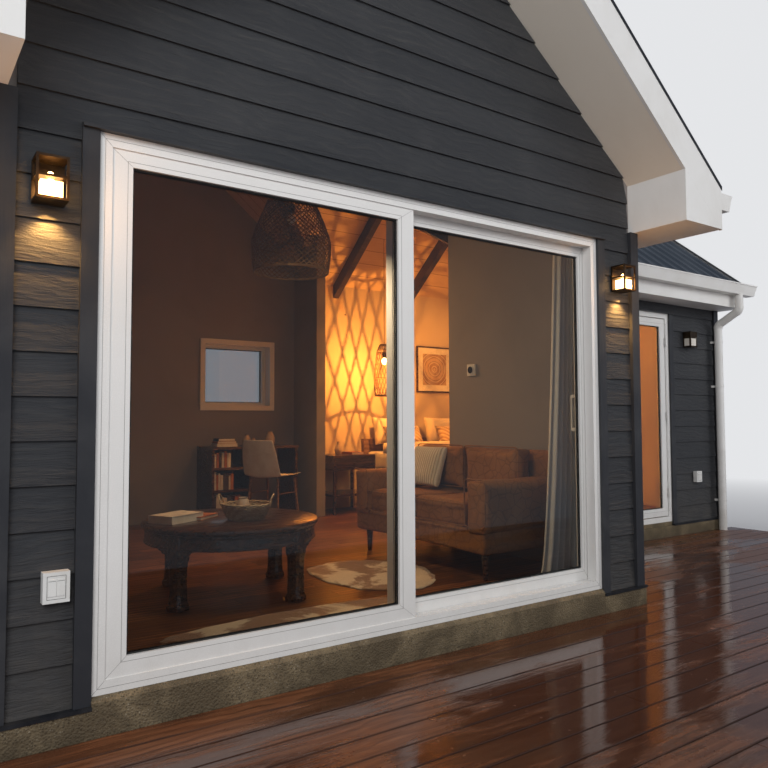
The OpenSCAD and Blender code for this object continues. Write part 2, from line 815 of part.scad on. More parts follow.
module main_eaves() color(trim_white) {
    mirror([1, 0, 0]) boxed_eave(block_apex, core_x, reach, verge_y0, verge_y1,
        [core_y, rear_core_y], [true, true]);
    boxed_eave(block_apex, core_x, reach, verge_y0, range_core_y, [core_y, 0], [true, false]);
    boxed_eave(block_apex, core_x, reach, rear_core_y, verge_y1, [0, rear_core_y], [false, true]);
}

module range_eaves() color(trim_white) for (side = [0, 1])
    translate([0, ridge_y, 0]) mirror([0, side, 0]) translate([0, -ridge_y, 0])
        to_range() boxed_eave(range_apex, range_half - clad_t, range_reach, reach, range_end_x,
            [0, range_core_x], [false, true]);

// Square gutter with a beaded lip and closed ends, hung on the fascia
module gutter(apex, face_x, y0, y1) {
    top = under(apex, face_x) + roof_rise - gutter_drop;
    low = top - gutter_h;
    lip = face_x + gutter_w;
    foot = lip - gutter_taper;
    outline = [[face_x, top], [face_x, low], [foot, low], [lip - bead, top - 2 * bead],
        [lip, top - 2 * bead], [lip, top]];
    along_y(y0, y1) difference() {
        polygon(outline);
        polygon([[face_x + gutter_t, top + eps], [face_x + gutter_t, low + gutter_t],
            [foot - gutter_t / 2, low + gutter_t], [lip - bead - gutter_t, top - 2 * bead],
            [lip - bead - gutter_t, top + eps]]);
    }
    for (y = [y0, y1 - gutter_t]) along_y(y, y + gutter_t) polygon(outline);
}

module gutters() color(trim_white) {
    mirror([1, 0, 0]) gutter(block_apex, reach, verge_y0, verge_y1);
    gutter(block_apex, reach, verge_y0, range_back - range_eave_out - gutter_gap);
    for (side = [0, 1])
        translate([0, ridge_y, 0]) mirror([0, side, 0]) translate([0, -ridge_y, 0])
            to_range() gutter(range_apex, range_reach, reach + gutter_w + gutter_gap,
                range_end_x + gutter_past);
}

// Downpipe in a slope's own cross section: outlet, swan neck, wall pipe and clips; each pipe ends a
// little way inside the thicker bends
module downpipe(apex, wall_x, face_x, y, foot_z) {
    outlet_x = face_x + gutter_w / 2;
    pipe_x = wall_x + plinth_out + strip_lip + pipe_gap + pipe_d / 2;
    gutter_low = under(apex, face_x) + roof_rise - gutter_drop - gutter_h;
    neck_z = gutter_low - outlet_l;
    side = bend_r * (1 - cos(neck_angle));
    elbow = bend_r * sin(neck_angle);
    slant = (outlet_x - pipe_x - 2 * side) / sin(neck_angle);
    wall_z = neck_z - 2 * elbow - slant * cos(neck_angle);
    translate([outlet_x, y, neck_z - spigot]) cylinder(d = pipe_d, h = outlet_l + spigot);
    translate([outlet_x - bend_r, y, neck_z]) bend(-neck_angle);
    translate([outlet_x - side, y, neck_z - elbow]) rotate([0, 180 + neck_angle, 0])
        translate([0, 0, -spigot]) cylinder(d = pipe_d, h = slant + 2 * spigot);
    translate([pipe_x + bend_r, y, wall_z]) bend(180 - neck_angle);
    translate([pipe_x, y, foot_z]) cylinder(d = pipe_d, h = wall_z + spigot - foot_z);
    for (z = [plinth_top + clip_inset, (plinth_top + wall_z) / 2 + clip_rise, wall_z - clip_inset]) {
        translate([pipe_x, y, z]) cylinder(d = pipe_d + 2 * collar_t, h = clip_h);
        block([wall_x - clad_t, y - clip_h / 2, z], [pipe_x, y + clip_h / 2, z + clip_h]);
    }
}

// A bend fitting in the plane of X and Z from the given angle on, with a thicker wall than the
// pipes that end in it
module bend(start) rotate([90, 0, 0]) rotate([0, 0, start])
    rotate_extrude(angle = neck_angle) translate([bend_r, 0]) circle(d = pipe_d + 2 * collar_t);

module downpipes() color(trim_white) {
    for (side = [0, 1])
        translate([0, ridge_y, 0]) mirror([0, side, 0]) translate([0, -ridge_y, 0]) to_range()
            downpipe(range_apex, range_half, range_reach, range_x - pipe_inset,
                side == 0 ? deck_top : 0);
    mirror([1, 0, 0]) downpipe(block_apex, half_w, reach, block_d - pipe_inset, 0);
}

// L shaped board round an outer corner of the cladding; sx and sy point outwards
module corner_board(x, y, sx, sy, top) {
    far = trim_proud - corner_w;
    points = [[trim_proud, trim_proud], [trim_proud, far], [-clad_t, far], [-clad_t, -clad_t],
        [far, -clad_t], [far, trim_proud]];
    translate([0, 0, strip_z]) linear_extrude(top - strip_z)
        polygon([for (p = points) [x + sx * p[0], y + sy * p[1]]]);
}

module corner_boards() color([0.13, 0.14, 0.16]) {
    corner_board(-half_w, 0, -1, -1, eave_soffit_z);
    corner_board(half_w, 0, 1, -1, eave_soffit_z);
    corner_board(-half_w, block_d, -1, 1, eave_soffit_z);
    corner_board(range_x, range_back, 1, -1, range_soffit_z);
    corner_board(range_x, block_d, 1, 1, range_soffit_z);
}

// Strips under the cladding, lying on the plinth's ledge and lipped over its face
module base_strips() color([0.10, 0.11, 0.13]) {
    out = plinth_out + strip_lip;
    x_out = half_w + out;
    end_out = range_x + out;
    for (run = [
        [-x_out, door_x0 - seat_gap, -out, core_y],
        [door_x1 + seat_gap, x_out, -out, core_y],
        [-x_out, -core_x, core_y + seat_gap, rear_core_y - seat_gap],
        [core_x, x_out, core_y + seat_gap, range_back - out - seat_gap],
        [core_x, deck_door_x0 - seat_gap, range_back - out, range_core_y],
        [deck_door_x1 + seat_gap, end_out, range_back - out, range_core_y],
        [range_core_x, end_out, range_core_y + seat_gap, rear_core_y - seat_gap],
        [-x_out, end_out, rear_core_y, block_d + out]])
        block([run[0], run[2], ledge_z], [run[1], run[3], strip_z]);
}

// Trim boards beside an opening and a flashing over it, on a wall whose cladding face is at y
module opening_trim(x0, x1, top, y) {
    for (x = [x0 - trim_w, x1])
        block([x, y - trim_proud, strip_z], [x + trim_w, y + clad_t, top - seat_gap]);
    along_x(x0 - trim_w, x1 + trim_w) polygon([
        [y + clad_t, top], [y - head_out, top], [y - head_out, top + head_h / 2],
        [y + clad_t, top + head_h]]);
}

module door_trims() color([0.13, 0.14, 0.16]) {
    opening_trim(door_x0, door_x1, door_top, 0);
    opening_trim(deck_door_x0, deck_door_x1, deck_door_top, range_back);
}

// A rectangular frame in the plane of X and Z: outer size lo to hi, and bars of their own widths
module frame_ring(lo, hi, left, right, bottom, top) difference() {
    block(lo, hi);
    block([lo[0] + left, lo[1] - eps, lo[2] + bottom], [hi[0] - right, hi[1] + eps, hi[2] - top]);
}

module patio_door_frame() color(trim_white) {
    difference() {
        frame_ring([door_x0, -frame_proud, plinth_top], [door_x1, frame_back_y, door_top],
            frame_w, frame_w, frame_w, frame_w);
        // Wider track behind for the sliding panel
        block([slide_min_x - slide_gap, track_y, slide_z0 - slide_gap],
            [slide_x1 + slide_gap, frame_back_y - track_lip, slide_z1 + slide_gap]);
    }
    // Rail that carries the sliding panel
    block([slide_min_x - slide_gap, slide_y + sash_d / 2 - rail_w / 2, slide_z0 - slide_gap],
        [slide_x1 + slide_gap, slide_y + sash_d / 2 + rail_w / 2, slide_z0 - seat_gap]);
}

module fixed_panel_frame() color(trim_white)
    frame_ring([door_x0 + frame_w, fixed_y, plinth_top + frame_w],
        [meet_x1, fixed_y + sash_d, door_top - frame_w], sash_w, meet_w, sash_bottom, sash_top);

module fixed_panel_glass() color([0.55, 0.62, 0.65, 0.35])
    block([door_x0 + frame_w + sash_w, fixed_y + glass_in, plinth_top + frame_w + sash_bottom],
        [meet_x1 - meet_w, fixed_y + glass_in + glass_t, door_top - frame_w - sash_top]);

module sliding_panel_frame() color(trim_white) {
    frame_ring([slide_x0, slide_y, slide_z0], [slide_x1, slide_y + sash_d, slide_z1],
        meet_w, slide_stile, slide_bottom, slide_rail);
    // Pull handle on the room side
    handle_x = slide_x1 - slide_stile / 2 - handle_w / 2 - handle_in;
    for (z = [0, handle_l - handle_w])
        block([handle_x, slide_y + sash_d, handle_z + z],
            [handle_x + handle_w, slide_y + sash_d + handle_out, handle_z + z + handle_w]);
    block([handle_x, slide_y + sash_d + handle_out, handle_z],
        [handle_x + handle_w, slide_y + sash_d + handle_out + handle_w / 2, handle_z + handle_l]);
}

module sliding_panel_glass() color([0.55, 0.62, 0.65, 0.35])
    block([slide_x0 + meet_w, slide_y + glass_in, slide_z0 + slide_bottom],
        [slide_x1 - slide_stile, slide_y + glass_in + glass_t, slide_z1 - slide_rail]);

// One knuckle of the deck door's hinges and the flap that fixes it, to the frame or to the leaf
module knuckle(z, h, on_frame) {
    translate([hinge_x, hinge_y, z]) cylinder(r = hinge_r, h = h);
    if (on_frame)
        block([hinge_x, hinge_y, z], [hinge_x + hinge_flap, range_back, z + h]);
    else
        block([hinge_x - hinge_r, hinge_y, z], [leaf_x1, leaf_y, z + h]);
}

module deck_door_frame() color(trim_white) {
    frame_ring([deck_door_x0, range_back, plinth_top],
        [deck_door_x1, leaf_y + leaf_d + leaf_gap, deck_door_top],
        leaf_frame_w, leaf_frame_w, leaf_frame_w, leaf_frame_w);
    // Stop behind the leaf
    stop_w = leaf_frame_w + leaf_gap + stop_lap;
    frame_ring([deck_door_x0, leaf_y + leaf_d + leaf_gap, plinth_top],
        [deck_door_x1, range_back + leaf_frame_d, deck_door_top], stop_w, stop_w, stop_w, stop_w);
    for (z = hinge_levels, part = [0, 2])
        knuckle(z + part * hinge_l / 3, hinge_l / 3, true);
}

module deck_door_leaf() color(trim_white) {
    frame_ring([leaf_x0, leaf_y, leaf_z0], [leaf_x1, leaf_y + leaf_d, leaf_z1],
        leaf_w, leaf_w, leaf_w, leaf_w);
    for (z = hinge_levels)
        knuckle(z + hinge_l / 3 + seat_gap, hinge_l / 3 - 2 * seat_gap, false);
    // Lever handle on the deck side
    block([leaf_x0 + leaf_w / 2 - handle_w / 2, leaf_y - lever_out, handle_z],
        [leaf_x0 + leaf_w / 2 + handle_w / 2, leaf_y, handle_z + handle_w]);
    block([leaf_x0 + leaf_w / 2 - handle_w / 2, leaf_y - lever_out - handle_w / 2, handle_z],
        [leaf_x0 + leaf_w / 2 + lever_l, leaf_y - lever_out, handle_z + handle_w]);
}

module deck_door_glass() color([0.55, 0.62, 0.65, 0.35])
    block([leaf_x0 + leaf_w, leaf_y + leaf_d / 2 - glass_t / 2, leaf_z0 + leaf_w],
        [leaf_x1 - leaf_w, leaf_y + leaf_d / 2 + glass_t / 2, leaf_z1 - leaf_w]);

module rear_window_frame() color(trim_white) {
    inside = window_y - window_frame_d;
    frame_ring([window_x0, inside, window_z0], [window_x1, window_y, window_z1],
        window_frame_w, window_frame_w, window_frame_w, window_frame_w);
    // Lining of the reveal and the architrave round it
    frame_ring([window_x0, rear_inner_y, window_z0], [window_x1, inside, window_z1],
        lining_w, lining_w, lining_w, lining_w);
    lap = architrave_w - lining_w;
    frame_ring([window_x0 - lap, rear_inner_y - architrave_t, window_z0 - lap],
        [window_x1 + lap, rear_inner_y, window_z1 + lap],
        architrave_w, architrave_w, architrave_w, architrave_w);
}

module rear_window_glass() color([0.55, 0.62, 0.65, 0.35])
    block([window_x0 + window_frame_w, window_y - glass_t * 2, window_z0 + window_frame_w],
        [window_x1 - window_frame_w, window_y - glass_t, window_z1 - window_frame_w]);

// Wall lantern: mounting block, back plate, cap, floor, two posts and a shelf over the glass
module lantern(x, y, z) translate([x, y, z]) {
    block([-lamp_w / 2 + lamp_plate, -lamp_plate, lamp_plate],
        [lamp_w / 2 - lamp_plate, clad_t, lamp_h - lamp_plate]);
    block([-lamp_w / 2, -lamp_plate, 0], [lamp_w / 2, 0, lamp_h]);
    for (level = [0, lamp_h / 2, lamp_h - lamp_plate])
        block([-lamp_w / 2, -lamp_d, level], [lamp_w / 2, -lamp_plate, level + lamp_plate]);
    for (post = [-lamp_w / 2, lamp_w / 2 - lamp_plate])
        block([post, -lamp_d, 0], [post + lamp_plate, -lamp_d + lamp_plate, lamp_h]);
}

module wall_lamps() color([0.12, 0.09, 0.07]) {
    for (spot = lanterns) lantern(spot[0], 0, spot[1]);
    // Plain closed lamp beside the deck door
    block([range_lamp_x + lamp_plate, range_back, range_lamp_z + lamp_plate],
        [range_lamp_x + lamp_w - lamp_plate, range_core_y, range_lamp_z + lamp_h - lamp_plate]);
    block([range_lamp_x, range_back - range_lamp_d, range_lamp_z],
        [range_lamp_x + lamp_w, range_back, range_lamp_z + lamp_h]);
}

module lantern_glasses() color([1.0, 0.72, 0.35])
    for (spot = lanterns) translate([spot[0], 0, spot[1]])
        block([-lamp_w / 2 + 2 * lamp_plate, -lamp_d + 2 * lamp_plate, lamp_plate],
            [lamp_w / 2 - 2 * lamp_plate, -2 * lamp_plate, lamp_h / 2 - lamp_plate]);

module wall_switches() color(trim_white) {
    for (box = switch_boxes) {
        block([box[0], box[1] - switch_d, switch_z], [box[0] + switch_w, box[1], switch_z + switch_h]);
        block([box[0] + switch_rim, box[1], switch_z + switch_rim],
            [box[0] + switch_w - switch_rim, box[1] + clad_t, switch_z + switch_h - switch_rim]);
    }
}

// A level frame of joists between rims, with a board's gap left where two frames meet
module joist_frame(x0, x1, y0, y1) {
    for (y = [y0, y1 - joist_w]) block([x0, y, 0], [x1, y + joist_w, joist_h]);
    count = ceil((x1 - x0 - joist_w) / joist_pitch);
    step = (x1 - x0 - joist_w) / count;
    for (i = [0 : count])
        block([x0 + i * step, y0, 0], [x0 + i * step + joist_w, y1, joist_h]);
}

module deck_joists() color([0.30, 0.20, 0.14]) {
    joist_frame(deck_x0, deck_x1, -deck_d, -plinth_out);
    joist_frame(half_w + plinth_out, deck_x1, board_gap - plinth_out, range_back - plinth_out);
}

module deck_boards() color([0.35, 0.16, 0.09]) {
    block([deck_x0 - deck_nose, -deck_d - deck_nose, joist_h], [deck_x1 + deck_nose, -plinth_out, deck_top]);
    block([half_w + plinth_out, board_gap - plinth_out, joist_h],
        [deck_x1 + deck_nose, range_back - plinth_out, deck_top]);
}

module coffee_table() color([0.16, 0.09, 0.05]) {
    translate([table_x, table_y, table_top - table_t]) cylinder(d = table_d, h = table_t, $fn = 96);
    translate([table_x, table_y, table_top - table_t - apron_h]) difference() {
        cylinder(d = table_d - 2 * table_lip, h = apron_h, $fn = 96);
        translate([0, 0, -eps]) cylinder(d = table_d - 2 * table_lip - 2 * apron_t, h = apron_h, $fn = 96);
    }
    for (angle = [45 : 90 : 315])
        translate([table_x, table_y, 0]) rotate([0, 0, angle + table_turn])
            translate([table_d / 2 - table_lip - table_leg_w, -table_leg_w / 2, floor_z])
                cube([table_leg_w, table_leg_w, table_top - table_t - floor_z]);
}

module sofa_frame() color([0.36, 0.17, 0.07]) {
    base_z = floor_z + sofa_leg;
    block([sofa_x0, sofa_y0, base_z], [sofa_x1, sofa_y1, floor_z + sofa_base_h]);
    block([sofa_x1 - sofa_back_t, sofa_y0, floor_z + sofa_base_h], [sofa_x1, sofa_y1, floor_z + sofa_back_h]);
    for (y = [sofa_y0, sofa_y1 - sofa_arm_w])
        block([sofa_x0, y, floor_z + sofa_base_h],
            [sofa_x1 - sofa_back_t, y + sofa_arm_w, floor_z + sofa_arm_h]);
    for (x = [sofa_x0 + sofa_arm_w / 2, sofa_x1 - sofa_arm_w / 2],
            y = [sofa_y0 + sofa_arm_w / 2, sofa_y1 - sofa_arm_w / 2])
        translate([x, y, floor_z]) cylinder(r1 = leg_foot_r, r2 = leg_head_r, h = sofa_leg, $fn = 32);
}

module sofa_cushions() color([0.40, 0.19, 0.08]) {
    low = floor_z + sofa_base_h + seat_gap;
    y0 = sofa_y0 + sofa_arm_w + seat_gap;
    y1 = sofa_y1 - sofa_arm_w - seat_gap;
    block([sofa_x0, y0, low], [sofa_x1 - sofa_back_t - seat_gap, y1, low + cushion_t]);
    block([sofa_x1 - sofa_back_t - cushion_t, y0, low + cushion_t + seat_gap],
        [sofa_x1 - sofa_back_t - seat_gap, y1, floor_z + sofa_back_h]);
}

module bed_base() color([0.30, 0.20, 0.13]) {
    block([bed_x0, bed_y0, floor_z + bed_leg],
        [bed_x0 + bed_w, rear_inner_y - bed_head_t, floor_z + bed_base_h]);
    block([bed_x0, rear_inner_y - bed_head_t, floor_z],
        [bed_x0 + bed_w, rear_inner_y, floor_z + bed_head_h]);
    for (x = [bed_x0, bed_x0 + bed_w - bed_leg_w])
        block([x, bed_y0, floor_z], [x + bed_leg_w, bed_y0 + bed_leg_w, floor_z + bed_leg]);
}

module bed_linen() color([0.72, 0.60, 0.45]) {
    low = floor_z + bed_base_h + seat_gap;
    back = rear_inner_y - bed_head_t - seat_gap;
    block([bed_x0, bed_y0, low], [bed_x0 + bed_w, back, low + mattress_t]);
    for (x = [0, bed_w / 2 + seat_gap])
        block([bed_x0 + x, back - pillow_t, low + mattress_t + seat_gap],
            [bed_x0 + x + bed_w / 2 - seat_gap, back, low + mattress_t + pillow_h]);
}

module small_furniture() color([0.22, 0.12, 0.07]) {
    // Side table with a drawer and a shelf
    table_x0 = bed_x0 - side_gap - side_w;
    for (z = [side_shelf_z, side_h - shelf_t])
        block([table_x0, side_y0, floor_z + z], [table_x0 + side_w, side_y0 + side_d, floor_z + z + shelf_t]);
    for (x = [table_x0, table_x0 + side_w - shelf_t], y = [side_y0, side_y0 + side_d - shelf_t])
        block([x, y, floor_z], [x + shelf_t, y + shelf_t, floor_z + side_h - shelf_t]);
    block([table_x0 + shelf_t / 2, side_y0 + shelf_t / 2, floor_z + side_h - shelf_t - side_drawer_h],
        [table_x0 + side_w - shelf_t / 2, side_y0 + side_d - shelf_t / 2, floor_z + side_h - shelf_t]);
    // Writing desk under the rear window, with a book bay at its left end
    block([desk_x0, desk_y0, desk_top - shelf_t], [desk_x1, rear_inner_y, desk_top]);
    for (x = [desk_x0, desk_x0 + bay_w - shelf_t, desk_x1 - shelf_t])
        block([x, desk_y0 + shelf_t, floor_z], [x + shelf_t, rear_inner_y, desk_top - shelf_t]);
    for (z = bay_shelves)
        block([desk_x0 + shelf_t, desk_y0 + shelf_t, floor_z + z],
            [desk_x0 + bay_w - shelf_t, rear_inner_y, floor_z + z + shelf_t]);
}

// Shell chair: seat, leaning back and four splayed legs
module desk_chair() color([0.80, 0.78, 0.74])
    translate([chair_x, chair_y, 0]) rotate([0, 0, chair_turn]) {
        block([-chair_seat_w / 2, -chair_seat_d / 2, chair_seat_z],
            [chair_seat_w / 2, chair_seat_d / 2, chair_seat_z + chair_shell_t]);
        translate([0, -chair_seat_d / 2, chair_seat_z]) rotate([chair_lean, 0, 0])
            block([-chair_back_w / 2, 0, 0], [chair_back_w / 2, chair_shell_t, chair_back_h]);
        for (x = [-1, 1], y = [-1, 1])
            translate([x * chair_leg_x, y * chair_leg_y, floor_z])
                cylinder(r1 = chair_foot_r, r2 = chair_head_r, h = chair_seat_z - floor_z, $fn = 32);
    }

// Open bell, a thin shell turned about its own axis, with its flex and ceiling rose
module woven_bell(r_top, r_low, h, t) rotate_extrude($fn = 64) polygon([
    [0, h - t], [r_top * 0.6, h - t], [r_top - t / 2, h * 0.82], [r_low - t, h * 0.35], [r_low * 0.93 - t, 0],
    [r_low * 0.93, 0], [r_low, h * 0.35], [r_top, h * 0.85], [r_top * 0.6, h], [0, h]]);

module woven_shades() color([0.30, 0.19, 0.10]) {
    translate([0, pendant_y, pendant_z]) {
        woven_bell(pendant_r * 0.62, pendant_r, pendant_h, shade_t);
        translate([0, 0, pendant_h - shade_t / 2]) cylinder(r = flex_r, h = block_apex - pendant_z
            - pendant_h + shade_t / 2 - flex_r * tan_p - seat_gap);
    }
    translate([globe_x, globe_y, globe_z]) {
        woven_bell(globe_r * 0.75, globe_r, globe_h, shade_t);
        translate([0, 0, globe_h - shade_t / 2]) cylinder(r = flex_r,
            h = under(range_seat, globe_y + flex_r - ridge_y) - globe_z - globe_h + shade_t / 2);
    }
}

module wall_picture() color([0.16, 0.10, 0.06]) {
    block([picture_x, rear_inner_y - picture_t, picture_z],
        [picture_x + picture_w, rear_inner_y, picture_z + picture_h]);
    // Thermostat on the side wall
    block([inner_x - thermostat_t, thermostat_y, thermostat_z],
        [inner_x, thermostat_y + thermostat_w, thermostat_z + thermostat_w]);
}

// Sheer curtain drawn to one side, hanging from a rail on the wall
module curtain() color([0.80, 0.70, 0.58]) {
    block([curtain_x0, inner_y + curtain_out, curtain_z0],
        [curtain_x0 + curtain_w, inner_y + curtain_out + curtain_t, rail_z]);
    block([door_x0, inner_y, rail_z],
        [curtain_x0 + curtain_w, inner_y + curtain_out + curtain_t, rail_z + rail_h]);
}

// Outline of a hide, an oval with a wavy edge
module hide(x, y, l, w) translate([x, y, floor_z]) linear_extrude(rug_t) polygon([
    for (a = [0 : 15 : 345])
        [l / 2 * cos(a) * (1 + 0.08 * cos(4 * a)), w / 2 * sin(a) * (1 + 0.06 * cos(6 * a))]]);

module hide_rug() color([0.75, 0.65, 0.52]) {
    hide(rug_x, rug_y, rug_l, rug_w);
    hide(sofa_rug_x, sofa_rug_y, sofa_rug_l, sofa_rug_w);
}

block_plinth();
range_plinth();
timber_floor();
front_wall_left();
front_wall_right();
front_gable_wall();
left_wall();
right_wall();
rear_gable_wall();
range_rear_wall();
range_front_wall_left();
range_front_wall_right();
range_front_wall_head();
range_end_wall();
nib_wall();
main_roof_deck();
range_roof_deck();
ceiling_beams();
main_roof_sheets();
range_roof_sheets();
ridge_caps();
valley_flashings();
barge_boards();
verge_soffits();
main_eaves();
range_eaves();
gutters();
downpipes();
corner_boards();
base_strips();
door_trims();
patio_door_frame();
fixed_panel_frame();
fixed_panel_glass();
sliding_panel_frame();
sliding_panel_glass();
deck_door_frame();
deck_door_leaf();
deck_door_glass();
rear_window_frame();
rear_window_glass();
wall_lamps();
lantern_glasses();
wall_switches();
deck_joists();
deck_boards();
coffee_table();
sofa_frame();
sofa_cushions();
bed_base();
bed_linen();
small_furniture();
desk_chair();
woven_shades();
wall_picture();
curtain();
hide_rug();
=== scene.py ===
import json
import math
import random
import bpy
import bmesh
from mathutils import Matrix, Vector
from mathutils.bvhtree import BVHTree

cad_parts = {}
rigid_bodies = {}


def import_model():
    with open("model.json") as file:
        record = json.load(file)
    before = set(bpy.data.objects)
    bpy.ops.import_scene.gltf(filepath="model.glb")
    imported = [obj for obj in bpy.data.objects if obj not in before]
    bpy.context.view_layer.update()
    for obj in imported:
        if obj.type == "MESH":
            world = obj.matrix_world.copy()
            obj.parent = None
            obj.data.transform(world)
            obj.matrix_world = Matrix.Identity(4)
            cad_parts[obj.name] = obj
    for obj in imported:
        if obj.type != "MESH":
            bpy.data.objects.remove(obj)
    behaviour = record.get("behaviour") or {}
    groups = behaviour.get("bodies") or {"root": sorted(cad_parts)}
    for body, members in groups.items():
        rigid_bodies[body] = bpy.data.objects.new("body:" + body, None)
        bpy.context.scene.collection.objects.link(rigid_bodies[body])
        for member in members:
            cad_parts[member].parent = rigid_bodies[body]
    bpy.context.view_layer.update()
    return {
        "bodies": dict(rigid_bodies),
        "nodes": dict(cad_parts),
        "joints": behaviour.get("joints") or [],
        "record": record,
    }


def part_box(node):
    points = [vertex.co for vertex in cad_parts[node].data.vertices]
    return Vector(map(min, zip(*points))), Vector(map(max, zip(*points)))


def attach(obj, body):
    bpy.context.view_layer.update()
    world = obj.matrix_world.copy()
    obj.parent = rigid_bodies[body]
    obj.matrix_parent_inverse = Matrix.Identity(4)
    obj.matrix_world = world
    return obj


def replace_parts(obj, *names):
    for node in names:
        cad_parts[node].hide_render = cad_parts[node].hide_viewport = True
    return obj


# A small gabled beach house with a wide patio door, a side range and a wet timber deck
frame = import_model()
nodes = frame["nodes"]
random.seed(11)
print("frame loaded")


# shader building
class Field:
    # one output in a node tree; plain arithmetic joins it to numbers and to other fields
    def __init__(self, tree, socket):
        self.tree, self.socket = tree, socket

    def __getitem__(self, name):
        return Field(self.tree, self.socket.node.outputs[name])

    def calc(self, operation, other=0.0):
        return self.tree.node("Math", {0: self, 1: other}, operation=operation)

    def __add__(self, other):
        return self.calc("ADD", other)

    def __sub__(self, other):
        return self.calc("SUBTRACT", other)

    def __mul__(self, other):
        return self.calc("MULTIPLY", other)

    def __truediv__(self, other):
        return self.calc("DIVIDE", other)

    def remap(self, toLow, toHigh, low=0.0, high=1.0):
        return self.tree.node("MapRange", {"Value": self, "From Min": low, "From Max": high,
                                           "To Min": toLow, "To Max": toHigh})


class Tree:
    # short calls for the nodes that the finishes share
    def __init__(self, tree):
        self.tree = tree

    def plug(self, value, socket):
        if isinstance(value, Field):
            self.tree.links.new(value.socket, socket)
        else:
            socket.default_value = (*value[:3], 1.0) if socket.type == "RGBA" else value

    def node(self, kind, inputs=None, **settings):
        node = self.tree.nodes.new("ShaderNode" + kind)
        for key, value in settings.items():
            setattr(node, key, value)
        for key, value in (inputs or {}).items():
            self.plug(value, node.inputs[key])
        return Field(self, node.outputs[0])

    def mix(self, factor, first, second):
        return self.node("Mix", {0: factor, 6: first, 7: second}, data_type="RGBA")[2]

    def ramp(self, factor, *stops):
        made = self.node("ValToRGB", {"Fac": factor})
        elements = made.socket.node.color_ramp.elements
        while len(elements) < len(stops):
            elements.new(0.5)
        for element, (position, rgb) in zip(elements, stops):
            element.position = position
            element.color = (*rgb, 1.0)
        return made

    def noise(self, vector, scale, detail=4.0, roughness=0.55, distortion=0.0):
        return self.node("TexNoise", {"Vector": vector, "Scale": scale, "Detail": detail,
                                      "Roughness": roughness, "Distortion": distortion})

    def wave(self, vector, scale, distortion, detail, **settings):
        return self.node("TexWave", {"Vector": vector, "Scale": scale, "Distortion": distortion,
                                     "Detail": detail}, **settings)["Fac"]

    def moved(self, vector, **settings):
        return self.node("Mapping", {"Vector": vector, **settings})

    def shifted(self, vector, other, operation="ADD"):
        return self.node("VectorMath", {0: vector, 1: other}, operation=operation)

    def own(self, count):
        # one steady random value for each whole number
        return self.node("TexWhiteNoise", {"W": count.calc("FLOOR")}, noise_dimensions="1D")

    def grain(self, vector, fibre, stretch, warp=0.05):
        return self.node("Group", {"Vector": vector, "Fibre": fibre, "Stretch": stretch, "Warp": warp},
                         node_tree=grainGroup)

    def patch(self, scale, low, high, vector=None):
        return self.node("Group", {"Vector": vector or self.position, "Scale": scale, "Low": low,
                                   "High": high},
                         node_tree=patchGroup)

    def grime(self, foot, reach):
        return self.node("Group", {"Vector": self.position, "Foot": foot, "Reach": reach},
                         node_tree=grimeGroup)


class Finish(Tree):
    # one material: its Principled shader and the position on the piece in metres
    def __init__(self, name, **sockets):
        self.material = bpy.data.materials.new(name)
        self.material.use_nodes = True
        super().__init__(self.material.node_tree)
        self.shader = self.tree.nodes["Principled BSDF"]
        self.position = self.node("TexCoord")["Object"]
        self.set(**sockets)

    def bump(self, height, distance):
        self.set(Normal=self.node("Bump", {"Height": height, "Distance": distance, "Strength": 1.0}))

    def set(self, **sockets):
        for key, value in sockets.items():
            self.plug(value, self.shader.inputs[key.replace("_", " ")])
        return self.material


class Group(Tree):
    # a shared effect as a node group: inputs are (label, default), outputs come from close()
    def __init__(self, name, **inputs):
        super().__init__(bpy.data.node_groups.new(name, "ShaderNodeTree"))
        new = self.tree.interface.new_socket
        new("Vector", in_out="INPUT", socket_type="NodeSocketVector")
        for label, value in inputs.items():
            new(label, in_out="INPUT", socket_type="NodeSocketFloat").default_value = value
        self.given = Field(self, self.tree.nodes.new("NodeGroupInput").outputs[0])

    def close(self, **outputs):
        for label in outputs:
            self.tree.interface.new_socket(label, in_out="OUTPUT", socket_type="NodeSocketFloat")
        leave = self.tree.nodes.new("NodeGroupOutput")
        for label, value in outputs.items():
            self.plug(value, leave.inputs[label])
        return self.tree


def makeGrain():
    # long fibres along X of the vector it gets: Height for bump, Streak for colour
    g = Group("Timber grain", Fibre=60.0, Stretch=0.06, Warp=0.05)
    squeeze = g.node("CombineXYZ", {"X": g.given["Stretch"], "Y": 1.0, "Z": 1.0})
    wander = (g.noise(g.given, 2.3, 2.0) - 0.5) * g.given["Warp"]
    moved = g.shifted(g.shifted(g.given, squeeze, "MULTIPLY"), wander)
    fine = g.noise(moved, g.given["Fibre"], 5.0, 0.62)
    rings = g.node("TexWave", {"Vector": moved, "Scale": 14.0, "Distortion": 2.2, "Detail": 3.0,
                               "Detail Scale": 3.0}, bands_direction="DIAGONAL")["Fac"]
    return g.close(Height=fine * 0.84 + rings * 0.16, Streak=fine.remap(0.0, 1.0, 0.3, 0.72))


def makePatches():
    # slow patches of dirt, fade or damp; Patch is 0 to 1
    g = Group("Patches", Scale=2.0, Low=0.42, High=0.62)
    wide = g.noise(g.given, g.given["Scale"], 6.0, 0.6, 0.4)
    return g.close(Patch=g.node("MapRange", {"Value": wide, "From Min": g.given["Low"],
                                             "From Max": g.given["High"]}, interpolation_type="SMOOTHSTEP"))


